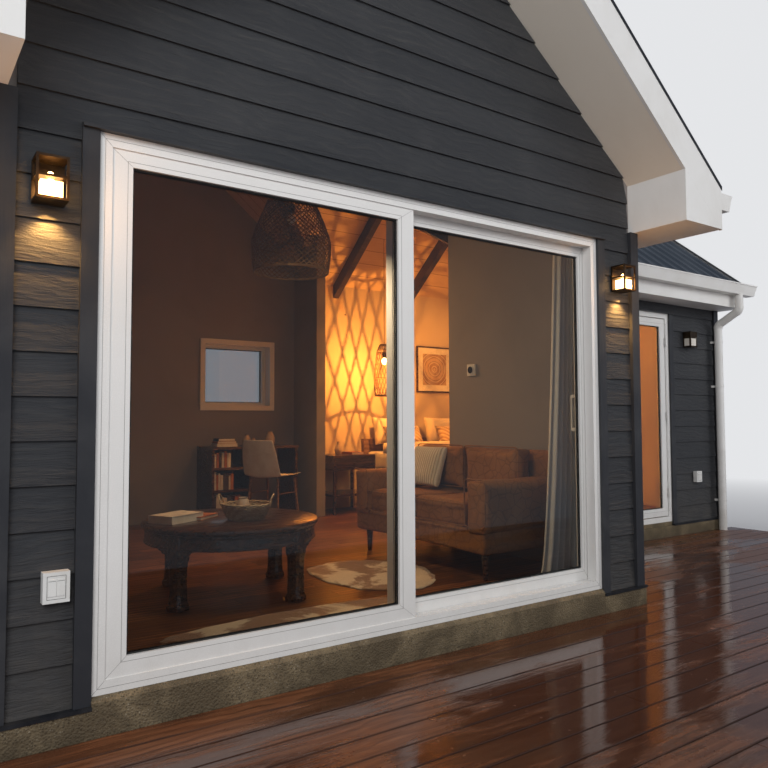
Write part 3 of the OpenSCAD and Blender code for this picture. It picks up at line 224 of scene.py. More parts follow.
def makeGrime():
    # soft grime that gathers low on walls and in long runs under edges
    g = Group("Grime", Foot=0.3, Reach=0.5)
    rise = (g.node("SeparateXYZ", {"Vector": g.given})["Z"] - g.given["Foot"]) / g.given["Reach"]
    runs = g.noise(g.moved(g.given, Scale=(14.0, 14.0, 0.6)), 3.0, 3.0)
    both = g.noise(g.given, 9.0, 6.0, 0.65) * (rise.remap(1.0, 0.0) + runs * 0.4)
    return g.close(Grime=both.remap(0.0, 1.0, 0.2, 0.8))


plinthFront = -0.025  # front face of the plinth, where the deck boards begin
grainGroup = makeGrain()
patchGroup = makePatches()
grimeGroup = makeGrime()


# finishes
def makeCladding(name, turned):
    # charcoal paint on boards with deep embossed grain; turned is for walls that run along Y
    look = {"paint": (0.042, 0.044, 0.048), "worn": (0.088, 0.084, 0.078), "board": 0.16,
            "fibre": 105.0, "grainDepth": 0.0070, "footHeight": 0.30}
    f = Finish(name, Specular_IOR_Level=0.35)
    split = f.node("SeparateXYZ", {"Vector": f.position})
    own = f.own(split["Z"] / look["board"])
    along, across = (split["Y"], split["X"]) if turned else (split["X"], split["Y"])
    grain = f.grain(f.node("CombineXYZ", {"X": along + own * 9.0, "Y": across, "Z": split["Z"]}),
                    look["fibre"], 0.09, 0.07)
    tone = f.mix(grain.remap(0.0, 0.38, 0.50, 0.72), look["paint"], look["worn"])
    tone = f.mix(own * 0.35, tone, (0.028, 0.030, 0.034))
    tone = f.mix(f.patch(1.6, 0.45, 0.7) * 0.25, tone, (0.078, 0.078, 0.078))
    f.bump(grain, look["grainDepth"])
    return f.set(Base_Color=f.mix(f.grime(look["footHeight"], 0.7) * 0.45, tone, (0.090, 0.080, 0.068)),
                 Roughness=grain["Streak"].remap(0.42, 0.62))


def makeTrim():
    look = {"paint": (0.030, 0.032, 0.037), "edge": (0.072, 0.073, 0.075)}
    f = Finish("charcoal trim paint", Specular_IOR_Level=0.4)
    grain = f.grain(f.moved(f.position, Rotation=(0, math.pi / 2, 0)), 90.0, 0.05, 0.04)
    f.bump(grain, 0.0012)
    return f.set(Base_Color=f.mix(f.patch(3.0, 0.4, 0.7) * 0.35, look["paint"], look["edge"]),
                 Roughness=grain["Streak"].remap(0.38, 0.55))


def makeConcrete():
    # exposed aggregate: pebbles in a sandy face, damp and dark towards the deck
    look = {"paste": (0.235, 0.180, 0.108), "damp": (0.075, 0.058, 0.037), "pebble": 120.0}
    f = Finish("exposed aggregate", Specular_IOR_Level=0.3)
    stones = f.node("TexVoronoi", {"Vector": f.position, "Scale": look["pebble"]})
    stoneTone = f.ramp(f.node("SeparateColor", {"Color": stones["Color"]}),
                       (0.0, (0.05, 0.042, 0.030)), (0.45, (0.16, 0.125, 0.082)), (0.85, (0.26, 0.21, 0.14)),
                       (1.0, (0.40, 0.34, 0.25)))
    sand = f.noise(f.position, 420.0, 3.0)
    tone = f.mix(stones.remap(0.0, 1.0, 0.28, 0.5), stoneTone, look["paste"])
    tone = f.mix(sand.remap(0.0, 0.35, 0.3, 0.7), tone, (0.10, 0.085, 0.06))
    patch = f.patch(5.0, 0.38, 0.62)
    tone = f.mix(patch * 0.7, tone, look["damp"])
    f.bump(sand * 0.3 - stones, 0.004)
    return f.set(Base_Color=f.mix(f.grime(0.15, 0.22), tone, look["damp"]),
                 Roughness=patch.remap(0.85, 0.55))


def makeWhitePaint(name, rough, dirt):
    f = Finish(name, Specular_IOR_Level=0.5)
    tone = f.mix(f.patch(2.2, 0.42, 0.75) * dirt, (0.76, 0.75, 0.73), (0.60, 0.575, 0.53))
    fine = f.noise(f.position, 260.0, 2.0)
    f.bump(fine, 0.0002)
    return f.set(Base_Color=f.mix(f.grime(0.3, 0.9) * dirt, tone, (0.36, 0.33, 0.28)),
                 Roughness=fine.remap(rough - 0.06, rough + 0.08, 0.3, 0.7))


def makeRoofMetal():
    look = {"coat": (0.050, 0.066, 0.088), "chalk": (0.105, 0.125, 0.150)}
    f = Finish("roof sheet coating", Metallic=0.25, Specular_IOR_Level=0.5)
    runs = f.noise(f.moved(f.position, Scale=(1.5, 9.0, 1.5)), 4.0, 5.0)
    f.bump(f.noise(f.position, 300.0, 2.0), 0.0003)
    return f.set(Base_Color=f.mix((f.patch(1.8, 0.4, 0.7) + runs) * 0.5, look["coat"], look["chalk"]),
                 Roughness=runs.remap(0.32, 0.5, 0.3, 0.7))


def makeTimber(name, dark, mid, light, fibre, rough, coat=0.0):
    f = Finish(name, Coat_Weight=coat, Coat_Roughness=0.12)
    grain = f.grain(f.position, fibre, 0.05)
    tone = f.ramp(grain, (0.25, dark), (0.5, mid), (0.75, light))
    f.bump(grain, 0.0008)
    return f.set(Base_Color=f.mix(f.patch(3.0, 0.35, 0.7) * 0.3, tone, dark),
                 Roughness=grain["Streak"].remap(rough - 0.08, rough + 0.08))


def makeDeckTimber():
    # oiled red-brown boards, drying in patches and standing wet in others
    look = {"dry": (0.150, 0.056, 0.024), "wet": (0.046, 0.016, 0.008), "pale": (0.26, 0.115, 0.055),
            "seam": (0.016, 0.008, 0.005), "pitch": 0.14, "start": plinthFront}
    f = Finish("wet deck timber", Specular_IOR_Level=0.6)
    split = f.node("SeparateXYZ", {"Vector": f.position})
    step = (split["Y"] - look["start"]) / look["pitch"]
    own = f.own(step)
    grain = f.grain(f.node("CombineXYZ", {"X": split["X"] + own * 7.0, "Y": split["Y"], "Z": split["Z"]}),
                    85.0, 0.035)
    tone = f.ramp(grain, (0.25, look["wet"]), (0.5, look["dry"]), (0.8, look["pale"]))
    tone = f.mix(own * 0.45, tone, (0.11, 0.038, 0.018))
    puddle = f.patch(2.4, 0.38, 0.56, f.moved(f.position, Scale=(0.45, 1.5, 1.0)))
    tone = f.mix(puddle * 0.78, tone, look["wet"])
    # the board faces darken to a near-black colour along both edges: painted shade beside the gaps between
    # boards
    within = step.calc("FRACT")
    edge = within.remap(1.0, 0.0, 0.035, 0.11).calc("MAXIMUM", within.remap(0.0, 1.0, 0.93, 1.0))
    f.bump(grain * puddle.remap(1.0, 0.18), 0.0016)
    return f.set(Base_Color=f.mix(edge * 0.75, tone, look["seam"]), Roughness=puddle.remap(0.34, 0.07))


def makePlaster(name, rgb, shade):
    f = Finish(name, Roughness=0.85, Specular_IOR_Level=0.25)
    f.bump(f.noise(f.position, 190.0, 3.0), 0.0006)
    return f.set(Base_Color=f.mix(f.patch(1.3, 0.35, 0.75) * 0.5, rgb, shade))


def makeFloorBoards():
    look = {"boardLength": 1.4, "boardWidth": 0.13, "joint": 0.0045}
    f = Finish("interior floor boards", Coat_Weight=0.12, Coat_Roughness=0.22)
    boards = f.node("TexBrick", {
        "Vector": f.position, "Scale": 1.0, "Mortar Size": look["joint"], "Brick Width": look["boardLength"],
        "Row Height": look["boardWidth"], "Color1": (0.0, 0.0, 0.0), "Color2": (1.0, 1.0, 1.0),
        "Mortar": (0.5, 0.5, 0.5)}, offset=0.37)
    own = f.node("SeparateColor", {"Color": boards})
    grain = f.grain(f.shifted(f.position, own * 3.0), 70.0, 0.05)
    tone = f.ramp(grain, (0.34, (0.034, 0.013, 0.006)), (0.5, (0.150, 0.060, 0.025)),
                  (0.66, (0.36, 0.170, 0.075)))
    tone = f.mix(own * 0.75, tone, (0.050, 0.019, 0.008))
    f.bump(grain * 0.4 - boards["Fac"], 0.0012)
    return f.set(Base_Color=f.mix(boards["Fac"], tone, (0.03, 0.015, 0.010)),
                 Roughness=grain["Streak"].remap(0.28, 0.42))


def makeCeilingBoards():
    # matched boards with a fine groove at each joint, counted along Y
    look = {"board": 0.14, "groove": 0.03, "tone": (0.62, 0.45, 0.29), "shade": (0.42, 0.28, 0.16),
            "joint": 0.3}
    f = Finish("ceiling lining", Roughness=0.6, Specular_IOR_Level=0.35)
    count = f.node("SeparateXYZ", {"Vector": f.position})["Y"] / look["board"]
    groove = count.calc("FRACT").calc("LESS_THAN", look["groove"])
    grain = f.grain(f.position, 50.0, 0.08)
    tone = f.mix(grain["Streak"] * 0.35, look["tone"], look["shade"])
    tone = f.mix(f.own(count) * 0.35, tone, look["shade"])
    f.bump(grain * 0.3 - groove, 0.0015)
    return f.set(Base_Color=f.mix(groove, tone, [c * look["joint"] for c in look["shade"]]))


def makeLeather():
    look = {"hide": (0.225, 0.100, 0.036), "rubbed": (0.38, 0.19, 0.078), "crease": (0.075, 0.032, 0.012)}
    f = Finish("worn tan leather", Specular_IOR_Level=0.5)
    pebble, creases = (f.node("TexVoronoi", {"Vector": f.position, "Scale": scale},
                              feature="DISTANCE_TO_EDGE")
                       for scale in (230.0, 14.0))
    patch = f.patch(3.0, 0.25, 0.95)
    f.bump(creases.remap(0.0, 1.0, 0.0, 0.08) * 0.6 + pebble, 0.0012)
    # the crease lines are darkened: painted shade in the creases
    return f.set(Base_Color=f.mix(creases.remap(0.55, 0.0, 0.0, 0.05),
                                  f.mix(patch, look["hide"], look["rubbed"]),
                                  look["crease"]), Roughness=patch.remap(0.50, 0.36))


def makeWeave(name, warp, weft, pitch, depth, sheen=0.3, thread=None):
    # plain weave of two threads, counted on all three axes so that it needs no unwrapping
    f = Finish(name, Sheen_Weight=sheen, Specular_IOR_Level=0.2, Roughness=0.85)
    x, y, z = (f.wave(f.position, pitch, 0.6, 1.0, bands_direction=axis) for axis in "XYZ")
    height = x.calc("MAXIMUM", y).calc("MAXIMUM", z)
    tone = f.mix(f.patch(4.0, 0.35, 0.7) * 0.35, f.mix(height, weft, warp), weft)
    if thread:
        # open weave: gaps between the threads let light through
        f.set(Alpha=height.remap(*thread, 0.2, 0.9))
    f.bump(height, depth)
    return f.set(Base_Color=tone)


def makeRibbed(name, rgb, groove, ribs, across):
    # thick cloth with sewn ribs that run upright
    f = Finish(name, Sheen_Weight=0.4, Specular_IOR_Level=0.2, Roughness=0.85)
    rib = f.wave(f.position, ribs, 0.8, 2.0, bands_direction=across)
    # the grooves between the ribs take the darker groove colour: painted shade
    tone = f.mix(rib.remap(0.0, 1.0, 0.0, 0.6), groove, rgb)
    f.bump(rib + f.noise(f.position, 420.0, 3.0) * 0.25, 0.006)
    return f.set(Base_Color=f.mix(f.patch(5.0, 0.35, 0.7) * 0.3, tone, groove))


def makePrint():
    # made-up picture: soft arcs and bands in earth colours
    f = Finish("abstract print", Roughness=0.6, Specular_IOR_Level=0.2)
    moved = f.moved(f.position, Location=(-3.43, -4.05, -1.94))
    rings = f.wave(moved, 2.6, 2.4, 3.0, wave_type="RINGS", rings_direction="Y")
    wash = f.noise(moved, 9.0, 5.0)
    tone = f.ramp(rings, (0.1, (0.42, 0.25, 0.12)), (0.4, (0.16, 0.075, 0.035)), (0.62, (0.55, 0.40, 0.24)),
                  (0.9, (0.26, 0.13, 0.06)))
    f.bump(wash, 0.0003)
    return f.set(Base_Color=f.mix(wash.remap(0.0, 0.5, 0.3, 0.7), tone, (0.60, 0.48, 0.33)))


def makeHide():
    f = Finish("short hair hide", Sheen_Weight=0.4, Specular_IOR_Level=0.2, Roughness=0.9)
    hair = f.noise(f.moved(f.position, Scale=(30.0, 260.0, 30.0)), 4.0, 4.0)
    tone = f.mix(f.patch(2.6, 0.47, 0.53), (0.72, 0.62, 0.47), (0.24, 0.13, 0.07))
    f.bump(hair, 0.002)
    return f.set(Base_Color=f.mix(hair * 0.4, tone, (0.30, 0.22, 0.15)))


def makePlain(name, rgb, shade, rough, metallic=0.0, coat=0.0):
    # small painted, cast or moulded parts: a slight mottle, worn roughness and fine texture
    f = Finish(name, Metallic=metallic, Coat_Weight=coat)
    fine = f.noise(f.position, 180.0, 3.0)
    f.bump(fine, 0.0003)
    return f.set(Base_Color=f.mix(f.patch(12.0, 0.35, 0.7), rgb, shade),
                 Roughness=fine.remap(rough - 0.06, rough + 0.1, 0.3, 0.7))


def makeGlass():
    f = Finish("clear pane", Transmission_Weight=1.0, IOR=1.45, Base_Color=(0.90, 0.94, 0.93))
    return f.set(Roughness=f.patch(3.0, 0.5, 0.75).remap(0.0, 0.03))


def makeGlow(name, rgb, strength):
    f = Finish(name, Base_Color=(0.9, 0.8, 0.6), Emission_Strength=strength, Roughness=0.4)
    return f.set(Emission_Color=f.mix(f.noise(f.position, 30.0, 2.0), rgb,
                                      (rgb[0], rgb[1] * 0.8, rgb[2] * 0.6)))


trimPaint = makeTrim()
flashingMetal = makePlain("dark flashing", (0.020, 0.023, 0.029), (0.045, 0.048, 0.054), 0.4, 0.5)
deckTimber = makeDeckTimber()
warmWall = makePlaster("warm wall paint", (0.56, 0.44, 0.31), (0.46, 0.35, 0.24))
furnitureTimber = makeTimber("dark turned timber", (0.014, 0.007, 0.004), (0.048, 0.020, 0.009),
                             (0.13, 0.060, 0.026), 60.0, 0.30, 0.5)
bedTimber = makeTimber("bed timber", (0.08, 0.04, 0.02), (0.20, 0.11, 0.055), (0.33, 0.20, 0.11), 48.0, 0.45)
leather = makeLeather()
linenWarm = makeWeave("washed linen", (0.74, 0.62, 0.46), (0.52, 0.40, 0.27), 110.0, 0.0007)
linenPale = makeWeave("ribbed cushion cloth", (0.62, 0.57, 0.49), (0.40, 0.36, 0.30), 60.0, 0.0015)
ribbedLinen = makeRibbed("ribbed cream cloth", (0.72, 0.66, 0.55), (0.42, 0.36, 0.27), 14.0, "Y")
tuftedLinen = makeRibbed("tufted orange cloth", (0.70, 0.50, 0.26), (0.45, 0.26, 0.10), 9.0, "DIAGONAL")
sheerCloth = makeWeave("sheer curtain cloth", (0.80, 0.80, 0.79), (0.66, 0.67, 0.67), 240.0, 0.0004, 0.4,
                       (0.42, 0.85))
abstractPrint = makePrint()
cane = makeTimber("woven cane", (0.045, 0.022, 0.010), (0.13, 0.070, 0.030), (0.27, 0.16, 0.075), 120.0, 0.5)
paleCane = makeTimber("pale wicker", (0.22, 0.14, 0.075), (0.42, 0.31, 0.19), (0.60, 0.48, 0.32), 120.0, 0.6)
hide = makeHide()
bronze = makePlain("dark bronze", (0.050, 0.033, 0.020), (0.10, 0.070, 0.042), 0.38, 0.8)
gasket = makePlain("rubber gasket", (0.018, 0.018, 0.018), (0.035, 0.033, 0.031), 0.6)
jointGrey = makePlain("frame joint shadow", (0.30, 0.29, 0.28), (0.24, 0.23, 0.22), 0.6)
hingeSteel = makePlain("satin steel", (0.42, 0.41, 0.40), (0.30, 0.29, 0.28), 0.3, 1.0)
switchPlastic = makePlain("white moulded plastic", (0.72, 0.72, 0.70), (0.62, 0.61, 0.58), 0.35)
bulbGlow = makeGlow("warm bulb", (1.0, 0.60, 0.24), 22.0)
opalGlass = makePlain("opal bulb glass", (0.74, 0.70, 0.63), (0.66, 0.61, 0.53), 0.2, coat=0.4)
bookCloths = (makePlain("book cloth", (0.45, 0.16, 0.06), (0.30, 0.10, 0.045), 0.7),
              makePlain("pale book cloth", (0.66, 0.60, 0.52), (0.50, 0.44, 0.37), 0.7),
              makePlain("dark book cloth", (0.06, 0.05, 0.05), (0.12, 0.09, 0.07), 0.7))
pagePaper = makePlain("book pages", (0.70, 0.64, 0.54), (0.60, 0.53, 0.43), 0.8)
glazedClay = makePlain("glazed clay", (0.46, 0.36, 0.27), (0.30, 0.20, 0.13), 0.35, coat=0.4)
chairPlastic = makePlain("pale moulded seat", (0.68, 0.64, 0.58), (0.58, 0.53, 0.47), 0.42)

# carried-over solids get their finishes
for names, material in (
        ("block_plinth range_plinth", makeConcrete()),
        ("timber_floor", makeFloorBoards()),
        # the block's inner walls get a grey wall paint, darker than the range's walls: painted shade
        ("front_wall_left front_wall_right front_gable_wall left_wall right_wall rear_gable_wall nib_wall",
         makePlaster("grey wall paint in painted shade", (0.26, 0.24, 0.23), (0.19, 0.175, 0.17))),
        ("range_rear_wall range_front_wall_left range_front_wall_right range_front_wall_head range_end_wall",
         warmWall),
        ("main_roof_deck range_roof_deck", makeCeilingBoards()),
        ("ceiling_beams", makeTimber("dark beams", (0.016, 0.010, 0.007), (0.040, 0.025, 0.016),
                                     (0.085, 0.055, 0.034), 34.0, 0.55)),
        ("main_roof_sheets range_roof_sheets", makeRoofMetal()),
        ("ridge_caps valley_flashings base_strips", flashingMetal),
        ("barge_boards main_eaves range_eaves", makeWhitePaint("white painted boards", 0.42, 0.38)),
        ("verge_soffits", makePlaster("painted soffit sheet", (0.82, 0.77, 0.68), (0.75, 0.69, 0.59))),
        ("gutters downpipes", makeWhitePaint("white gutter plastic", 0.30, 0.5)),
        ("corner_boards door_trims", trimPaint),
        ("patio_door_frame fixed_panel_frame sliding_panel_frame deck_door_frame deck_door_leaf "
         "rear_window_frame", makeWhitePaint("white frame plastic", 0.24, 0.16)),
        ("fixed_panel_glass sliding_panel_glass deck_door_glass rear_window_glass", makeGlass()),
        ("wall_lamps", bronze),
        ("lantern_glasses", makeGlow("glowing lamp glass", (1.0, 0.62, 0.26), 7.0)),
        ("wall_switches", switchPlastic),
        ("deck_joists", makeTimber("deck frame timber", (0.06, 0.035, 0.02), (0.13, 0.08, 0.045),
                                   (0.22, 0.15, 0.09), 40.0, 0.7)),
        ("bed_base", bedTimber),
        ("small_furniture", furnitureTimber)):
    for name in names.split():
        nodes[name].data.materials.clear()
        nodes[name].data.materials.append(material)
print("finishes made")


# mesh building
def newPiece(name, mesh, material, smooth=None, body="house"):
    # smooth is the angle in degrees above which an edge stays sharp; 0 rounds them all
    piece = bpy.data.objects.new(name, mesh)
    bpy.context.scene.collection.objects.link(piece)
    mesh.materials.append(material)
    if smooth is not None:
        mesh.shade_smooth()
    if smooth:
        mesh.set_sharp_from_angle(angle=math.radians(smooth))
    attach(piece, body)
    return piece


def meshOf(name, points, faces):
    mesh = bpy.data.meshes.new(name)
    mesh.from_pydata([tuple(p) for p in points], [], faces)
    mesh.update()
    return mesh


def circle(count):
    # cosine and sine of evenly spaced angles
    return [(math.cos(a), math.sin(a)) for a in [2 * math.pi * k / count for k in range(count)]]


def gridFaces(rows, columns):
    wide = columns + 1
    return [[r * wide + c, r * wide + c + 1, (r + 1) * wide + c + 1, (r + 1) * wide + c]
            for r in range(rows) for c in range(columns)]


class Pile:
    # collects many small solids into one mesh
    def __init__(self):
        self.points = []
        self.faces = []

    def add(self, points, faces):
        first = len(self.points)
        self.points += [Vector(p) for p in points]
        self.faces += [[first + i for i in face] for face in faces]

    def loft(self, rings, closed=False):
        # a skin over rings of points; a ring of one point is a pole, and open ends get a face
        spots, points, faces = [], [], []
        for ring in rings:
            spots.append(range(len(points), len(points) + len(ring)))
            points += ring
        sides = max(len(ring) for ring in rings)
        for low, high in zip(spots, spots[1:] + spots[:1] if closed else spots[1:]):
            for k in range(sides):
                n = (k + 1) % sides
                corners = (low[k % len(low)], low[n % len(low)], high[n % len(high)], high[k % len(high)])
                faces.append(list(dict.fromkeys(corners)))
        if not closed:
            faces += [list(spots[0])[::-1], list(spots[-1])]
        self.add(points, [face for face in faces if len(face) > 2])

    def prism(self, outline, direction):
        # outline is a ring of points in space, direction the way it is pushed
        push = Vector(direction)
        self.loft([outline, [Vector(p) + push for p in outline]])

    def box(self, low, high):
        (x0, y0, z0), (x1, y1, z1) = low, high
        self.prism([(x0, y0, z0), (x1, y0, z0), (x1, y1, z0), (x0, y1, z0)], (0, 0, z1 - z0))

    def rim(self, low, high, wide, full=False):
        # four bars round a rectangle that faces Y; full lets the uprights reach both ends
        (x0, y0, z0), (x1, y1, z1) = low, high
        ends = (z0, z1) if full else (z0 + wide, z1 - wide)
        for a, b, c, d in ((x0, x1, z0, z0 + wide), (x0, x1, z1 - wide, z1), (x0, x0 + wide, *ends),
                           (x1 - wide, x1, *ends)):
            self.box((a, y0, c), (b, y1, d))

    def tube(self, route, radius, sides=6, closed=False):
        route = [Vector(p) for p in route]
        rings = []
        count = len(route)
        for i, point in enumerate(route):
            before = route[i - 1] if i > 0 or closed else point
            after = route[(i + 1) % count] if i < count - 1 or closed else point
            forward = (after - before).normalized()
            helper = Vector((0, 0, 1)) if abs(forward.z) < 0.9 else Vector((1, 0, 0))
            side = forward.cross(helper).normalized()
            rise = side.cross(forward)
            rings.append([point + radius * (c * side + s * rise) for c, s in circle(sides)])
        self.loft(rings, closed)

    def lathe(self, centre, profile, sides=32):
        # profile is a list of (radius, height) from bottom to top; a radius of nought makes one point
        x, y, z = centre
        self.loft([[(x + r * c, y + r * s, z + rise) for c, s in (circle(sides) if r > 1e-6 else [(1, 0)])]
                   for r, rise in profile])

    def mesh(self, name):
        made = meshOf(name, self.points, self.faces)
        work = bmesh.new()
        work.from_mesh(made)
        bmesh.ops.recalc_face_normals(work, faces=work.faces)
        work.to_mesh(made)
        work.free()
        return made

    def piece(self, name, material, slotName, smooth=None, body="house"):
        return newPiece(name, self.mesh(name), material, smooth, body)


def bevel(piece, width, segments=2, angle=35):
    modifier = piece.modifiers.new("soft edges", "BEVEL")
    modifier.width = width
    modifier.segments = segments
    modifier.limit_method = "ANGLE"
    modifier.angle_limit = math.radians(angle)
    modifier.harden_normals = False


def thicken(piece, thickness, offset):
    modifier = piece.modifiers.new("thickness", "SOLIDIFY")
    modifier.thickness = thickness
    modifier.offset = offset


def span(name):
    low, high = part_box(name)
    return Vector(low), Vector(high)


for width, names in (
        (0.0025, "patio_door_frame fixed_panel_frame sliding_panel_frame deck_door_frame deck_door_leaf "
                 "rear_window_frame wall_switches"),
        (0.003, "corner_boards door_trims barge_boards main_eaves range_eaves block_plinth range_plinth "
                "ceiling_beams wall_lamps bed_base small_furniture")):
    for name in names.split():
        bevel(nodes[name], width)
        nodes[name].data.shade_smooth()
        nodes[name].data.set_sharp_from_angle(angle=math.radians(35))

# lapped boards: true boards, each a wedge that leans out over the one below
wallSizes = {"board": 0.16, "butt": 0.011, "recess": 0.0215, "skin": 0.022, "verge": 0.0155, "pitch": 39.0,
             "trim": 0.062, "head": 0.024, "corner": 0.055, "rearTrim": 0.058}
doorHigh = span("patio_door_frame")[1]
leafLow, leafHigh = span("deck_door_frame")
paneLow, paneHigh = span("rear_window_glass")
endLow, endHigh = span("range_end_wall")
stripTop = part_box("base_strips")[1][2]
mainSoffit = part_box("main_eaves")[0][2]
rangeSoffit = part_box("range_eaves")[0][2]
blockHalf = wallSizes["skin"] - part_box("left_wall")[0][0]
rangeFace = endLow[1] - wallSizes["skin"]
rangeEnd = endHigh[0] + wallSizes["skin"]
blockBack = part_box("rear_gable_wall")[1][1] + wallSizes["skin"]
ridgeY = (rangeFace + blockBack) / 2
slope = math.tan(math.radians(wallSizes["pitch"]))
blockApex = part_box("front_gable_wall")[1][2]
rangeApex = endHigh[2]


def freeSpans(low, high, holes, z0, z1):
    spans = [(low, high)]
    for u0, u1, h0, h1 in holes:
        if h0 < z1 - 1e-4 and h1 > z0 + 1e-4:
            spans = [part for a, b in spans for part in ((a, min(b, u0)), (max(a, u1), b))
                     if part[1] > part[0]]
    return spans


def lapBoards(name, way, face, left, right, top, holes=(), gable=(0.0, math.inf)):
    # a wall that looks along way; gable is (middle, apex) where the top is cut to the roof's slope
    pile = Pile()
    board, butt, back = (wallSizes[key] for key in ("board", "butt", "recess"))
    middle, apex = gable
    cuts = sorted({h for hole in holes for h in hole[2:]})

    def ring(corners, offsets):
        return [Vector((u, face, z) if way[1] else (face, u, z)) + Vector(way) * offset
                for (u, z), offset in zip(corners, offsets)]

    z = stripTop
    while z < top - 0.005:
        upper = min(z + board, top)
        levels = [z] + [c for c in cuts if z + 0.002 < c < upper - 0.002] + [upper]
        for z0, z1 in zip(levels, levels[1:]):
            for u0, u1 in freeSpans(left, right, holes, z0, z1):
                (a0, b0), (a1, b1) = [(max(u0, middle - (apex - h) / slope),
                                       min(u1, middle + (apex - h) / slope))
                                      for h in (z0, z1)]
                if b0 - a0 < 0.01:
                    continue
                if b1 - a1 < 0.001:
                    a1, b1 = (a1 + b1) / 2 - 0.0005, (a1 + b1) / 2 + 0.0005
                corners = ((a0, z0), (b0, z0), (b1, z1), (a1, z1))
                pile.loft([ring(corners, [butt * (z - h) / board for h in (z0, z0, z1, z1)]),
                           ring(corners, [-back] * 4)])
        z += board
    pile.piece(name, sideCladding if way[0] else frontCladding, "cladding")


frontCladding = makeCladding("lap cladding front", False)
sideCladding = makeCladding("lap cladding side", True)
verge, corner, trim, head = (wallSizes[key] for key in ("verge", "corner", "trim", "head"))
blockGable = (0.0, blockApex - verge)
frontHole = (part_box("door_trims")[0][0], doorHigh[0] + trim, 0.0, doorHigh[2] + head)
rangeHole = (leafLow[0] - trim, leafHigh[0] + trim, 0.0, leafHigh[2] + head)
rearHole = (paneLow[0] - wallSizes["rearTrim"], paneHigh[0] + wallSizes["rearTrim"],
            paneLow[2] - wallSizes["rearTrim"], paneHigh[2] + wallSizes["rearTrim"])
for wall in (
        ("frontCladding", (0, -1, 0), 0.0, corner - blockHalf, blockHalf - corner, blockApex, (frontHole,),
         blockGable),
        ("leftCladding", (-1, 0, 0), -blockHalf, corner, blockBack - corner, mainSoffit),
        ("rightCladding", (1, 0, 0), blockHalf, corner, rangeFace, mainSoffit),
        ("rangeCladding", (0, -1, 0), rangeFace, blockHalf, rangeEnd - corner, rangeSoffit, (rangeHole,)),
        ("endCladding", (1, 0, 0), rangeEnd, rangeFace + corner, blockBack - corner, rangeApex, (),
         (ridgeY, rangeApex - verge)),
        ("rearGableCladding", (0, 1, 0), blockBack, corner - blockHalf, blockHalf, blockApex, (rearHole,),
         blockGable),
        ("rearRangeCladding", (0, 1, 0), blockBack, blockHalf, rangeEnd - corner, rangeSoffit)):
    lapBoards(*wall)

# fillet over the slot beside the main roof deck's end, in the range's rear wall
slotSizes = {"x": (2.128, 2.186), "z": (2.52, 2.85), "proud": 0.0015, "deep": 0.003}
pile = Pile()
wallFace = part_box("range_rear_wall")[0][1]
pile.box((slotSizes["x"][0], wallFace - slotSizes["proud"], slotSizes["z"][0]),
         (slotSizes["x"][1], wallFace + slotSizes["deep"], slotSizes["z"][1]))
pile.piece("roofSlotFillet", warmWall, "plaster")
# strip in the inner corner between the block and the range
pile = Pile()
for wide, deep in ((0.018, 0.032), (0.034, 0.014)):
    pile.box((blockHalf - 0.004, rangeFace - deep, stripTop),
             (blockHalf + wide, rangeFace + 0.004, rangeSoffit - 0.002))
pile.piece("innerCornerStrip", trimPaint, "cladding")
print("cladding laid")


# rubber lines round each pane, on both faces
gasketSizes = {"width": 0.007, "proud": 0.0016, "lap": 0.001, "gap": 0.0002}
for name, node, body in (("fixedPaneGasket", "fixed_panel_glass", "house"),
                         ("slidingPaneGasket", "sliding_panel_glass", "sliding_panel"),
                         ("deckDoorPaneGasket", "deck_door_glass", "deck_door"),
                         ("rearPaneGasket", "rear_window_glass", "house")):
    low, high = span(node)
    wide, proud, lap, gap = gasketSizes.values()
    pile = Pile()
    for y0, y1 in ((low.y - proud, low.y - gap), (high.y + gap, high.y + proud)):
        pile.rim((low.x + lap, y0, low.z + lap), (high.x - lap, y1, high.z - lap), wide - lap)
    pile.piece(name, gasket, "white_plastic", body=body)

# bead lines and mitres of the plastic frames, as hairlines on their outer faces
seamSizes = {"line": 0.0015, "deep": 0.0006, "back": 0.0008, "bead": 0.020, "mitre": 0.0006,
             "mitreDeep": 0.0004}


def frameSeam(name, node, body, insets):
    # insets: left, right, bottom, top distance of the line from the node's edge
    low, high = span(node)
    left, right, bottom, top = insets
    pile = Pile()
    pile.rim((low.x + left, low.y - seamSizes["deep"], low.z + bottom),
             (high.x - right, low.y + seamSizes["back"], high.z - top), seamSizes["line"], True)
    pile.piece(name, jointGrey, "white_plastic", body=body)


def mitres(name, node, body, bars):
    # joint lines at the corners of a welded frame; bars are left, right, bottom, top widths
    low, high = span(node)
    left, right, bottom, top = bars
    pile = Pile()
    for x, z, dx, dz in ((low.x, low.z, left, bottom), (high.x, low.z, -right, bottom),
                         (low.x, high.z, left, -top), (high.x, high.z, -right, -top)):
        start, end = Vector((x, low.y, z)), Vector((x + dx, low.y, z + dz))
        way = (end - start).normalized()
        side = Vector((-way.z, 0, way.x)) * seamSizes["mitre"]
        start, end = start + way * 0.003, end - way * 0.002
        pile.prism([start - side, end - side, end + side, start + side], (0, -seamSizes["mitreDeep"], 0))
    pile.piece(name, jointGrey, "white_plastic", body=body)


for label, node, body, bars in (
        ("FixedPanelFrame", "fixed_panel_frame", "house", (0.078, 0.094, 0.073, 0.062)),
        ("SlidingPanelFrame", "sliding_panel_frame", "sliding_panel", (0.094, 0.065, 0.082, 0.069)),
        ("DeckDoorLeaf", "deck_door_leaf", "deck_door", (0.076, 0.076, 0.076, 0.076))):
    frameSeam("bead" + label, node, body, [bar - seamSizes["bead"] for bar in bars])
    mitres("mitres" + label, node, body, bars)
frameSeam("patioFrameJoint", "patio_door_frame", "house", (0.022,) * 4)
mitres("mitresPatioFrame", "patio_door_frame", "house", (0.050,) * 4)

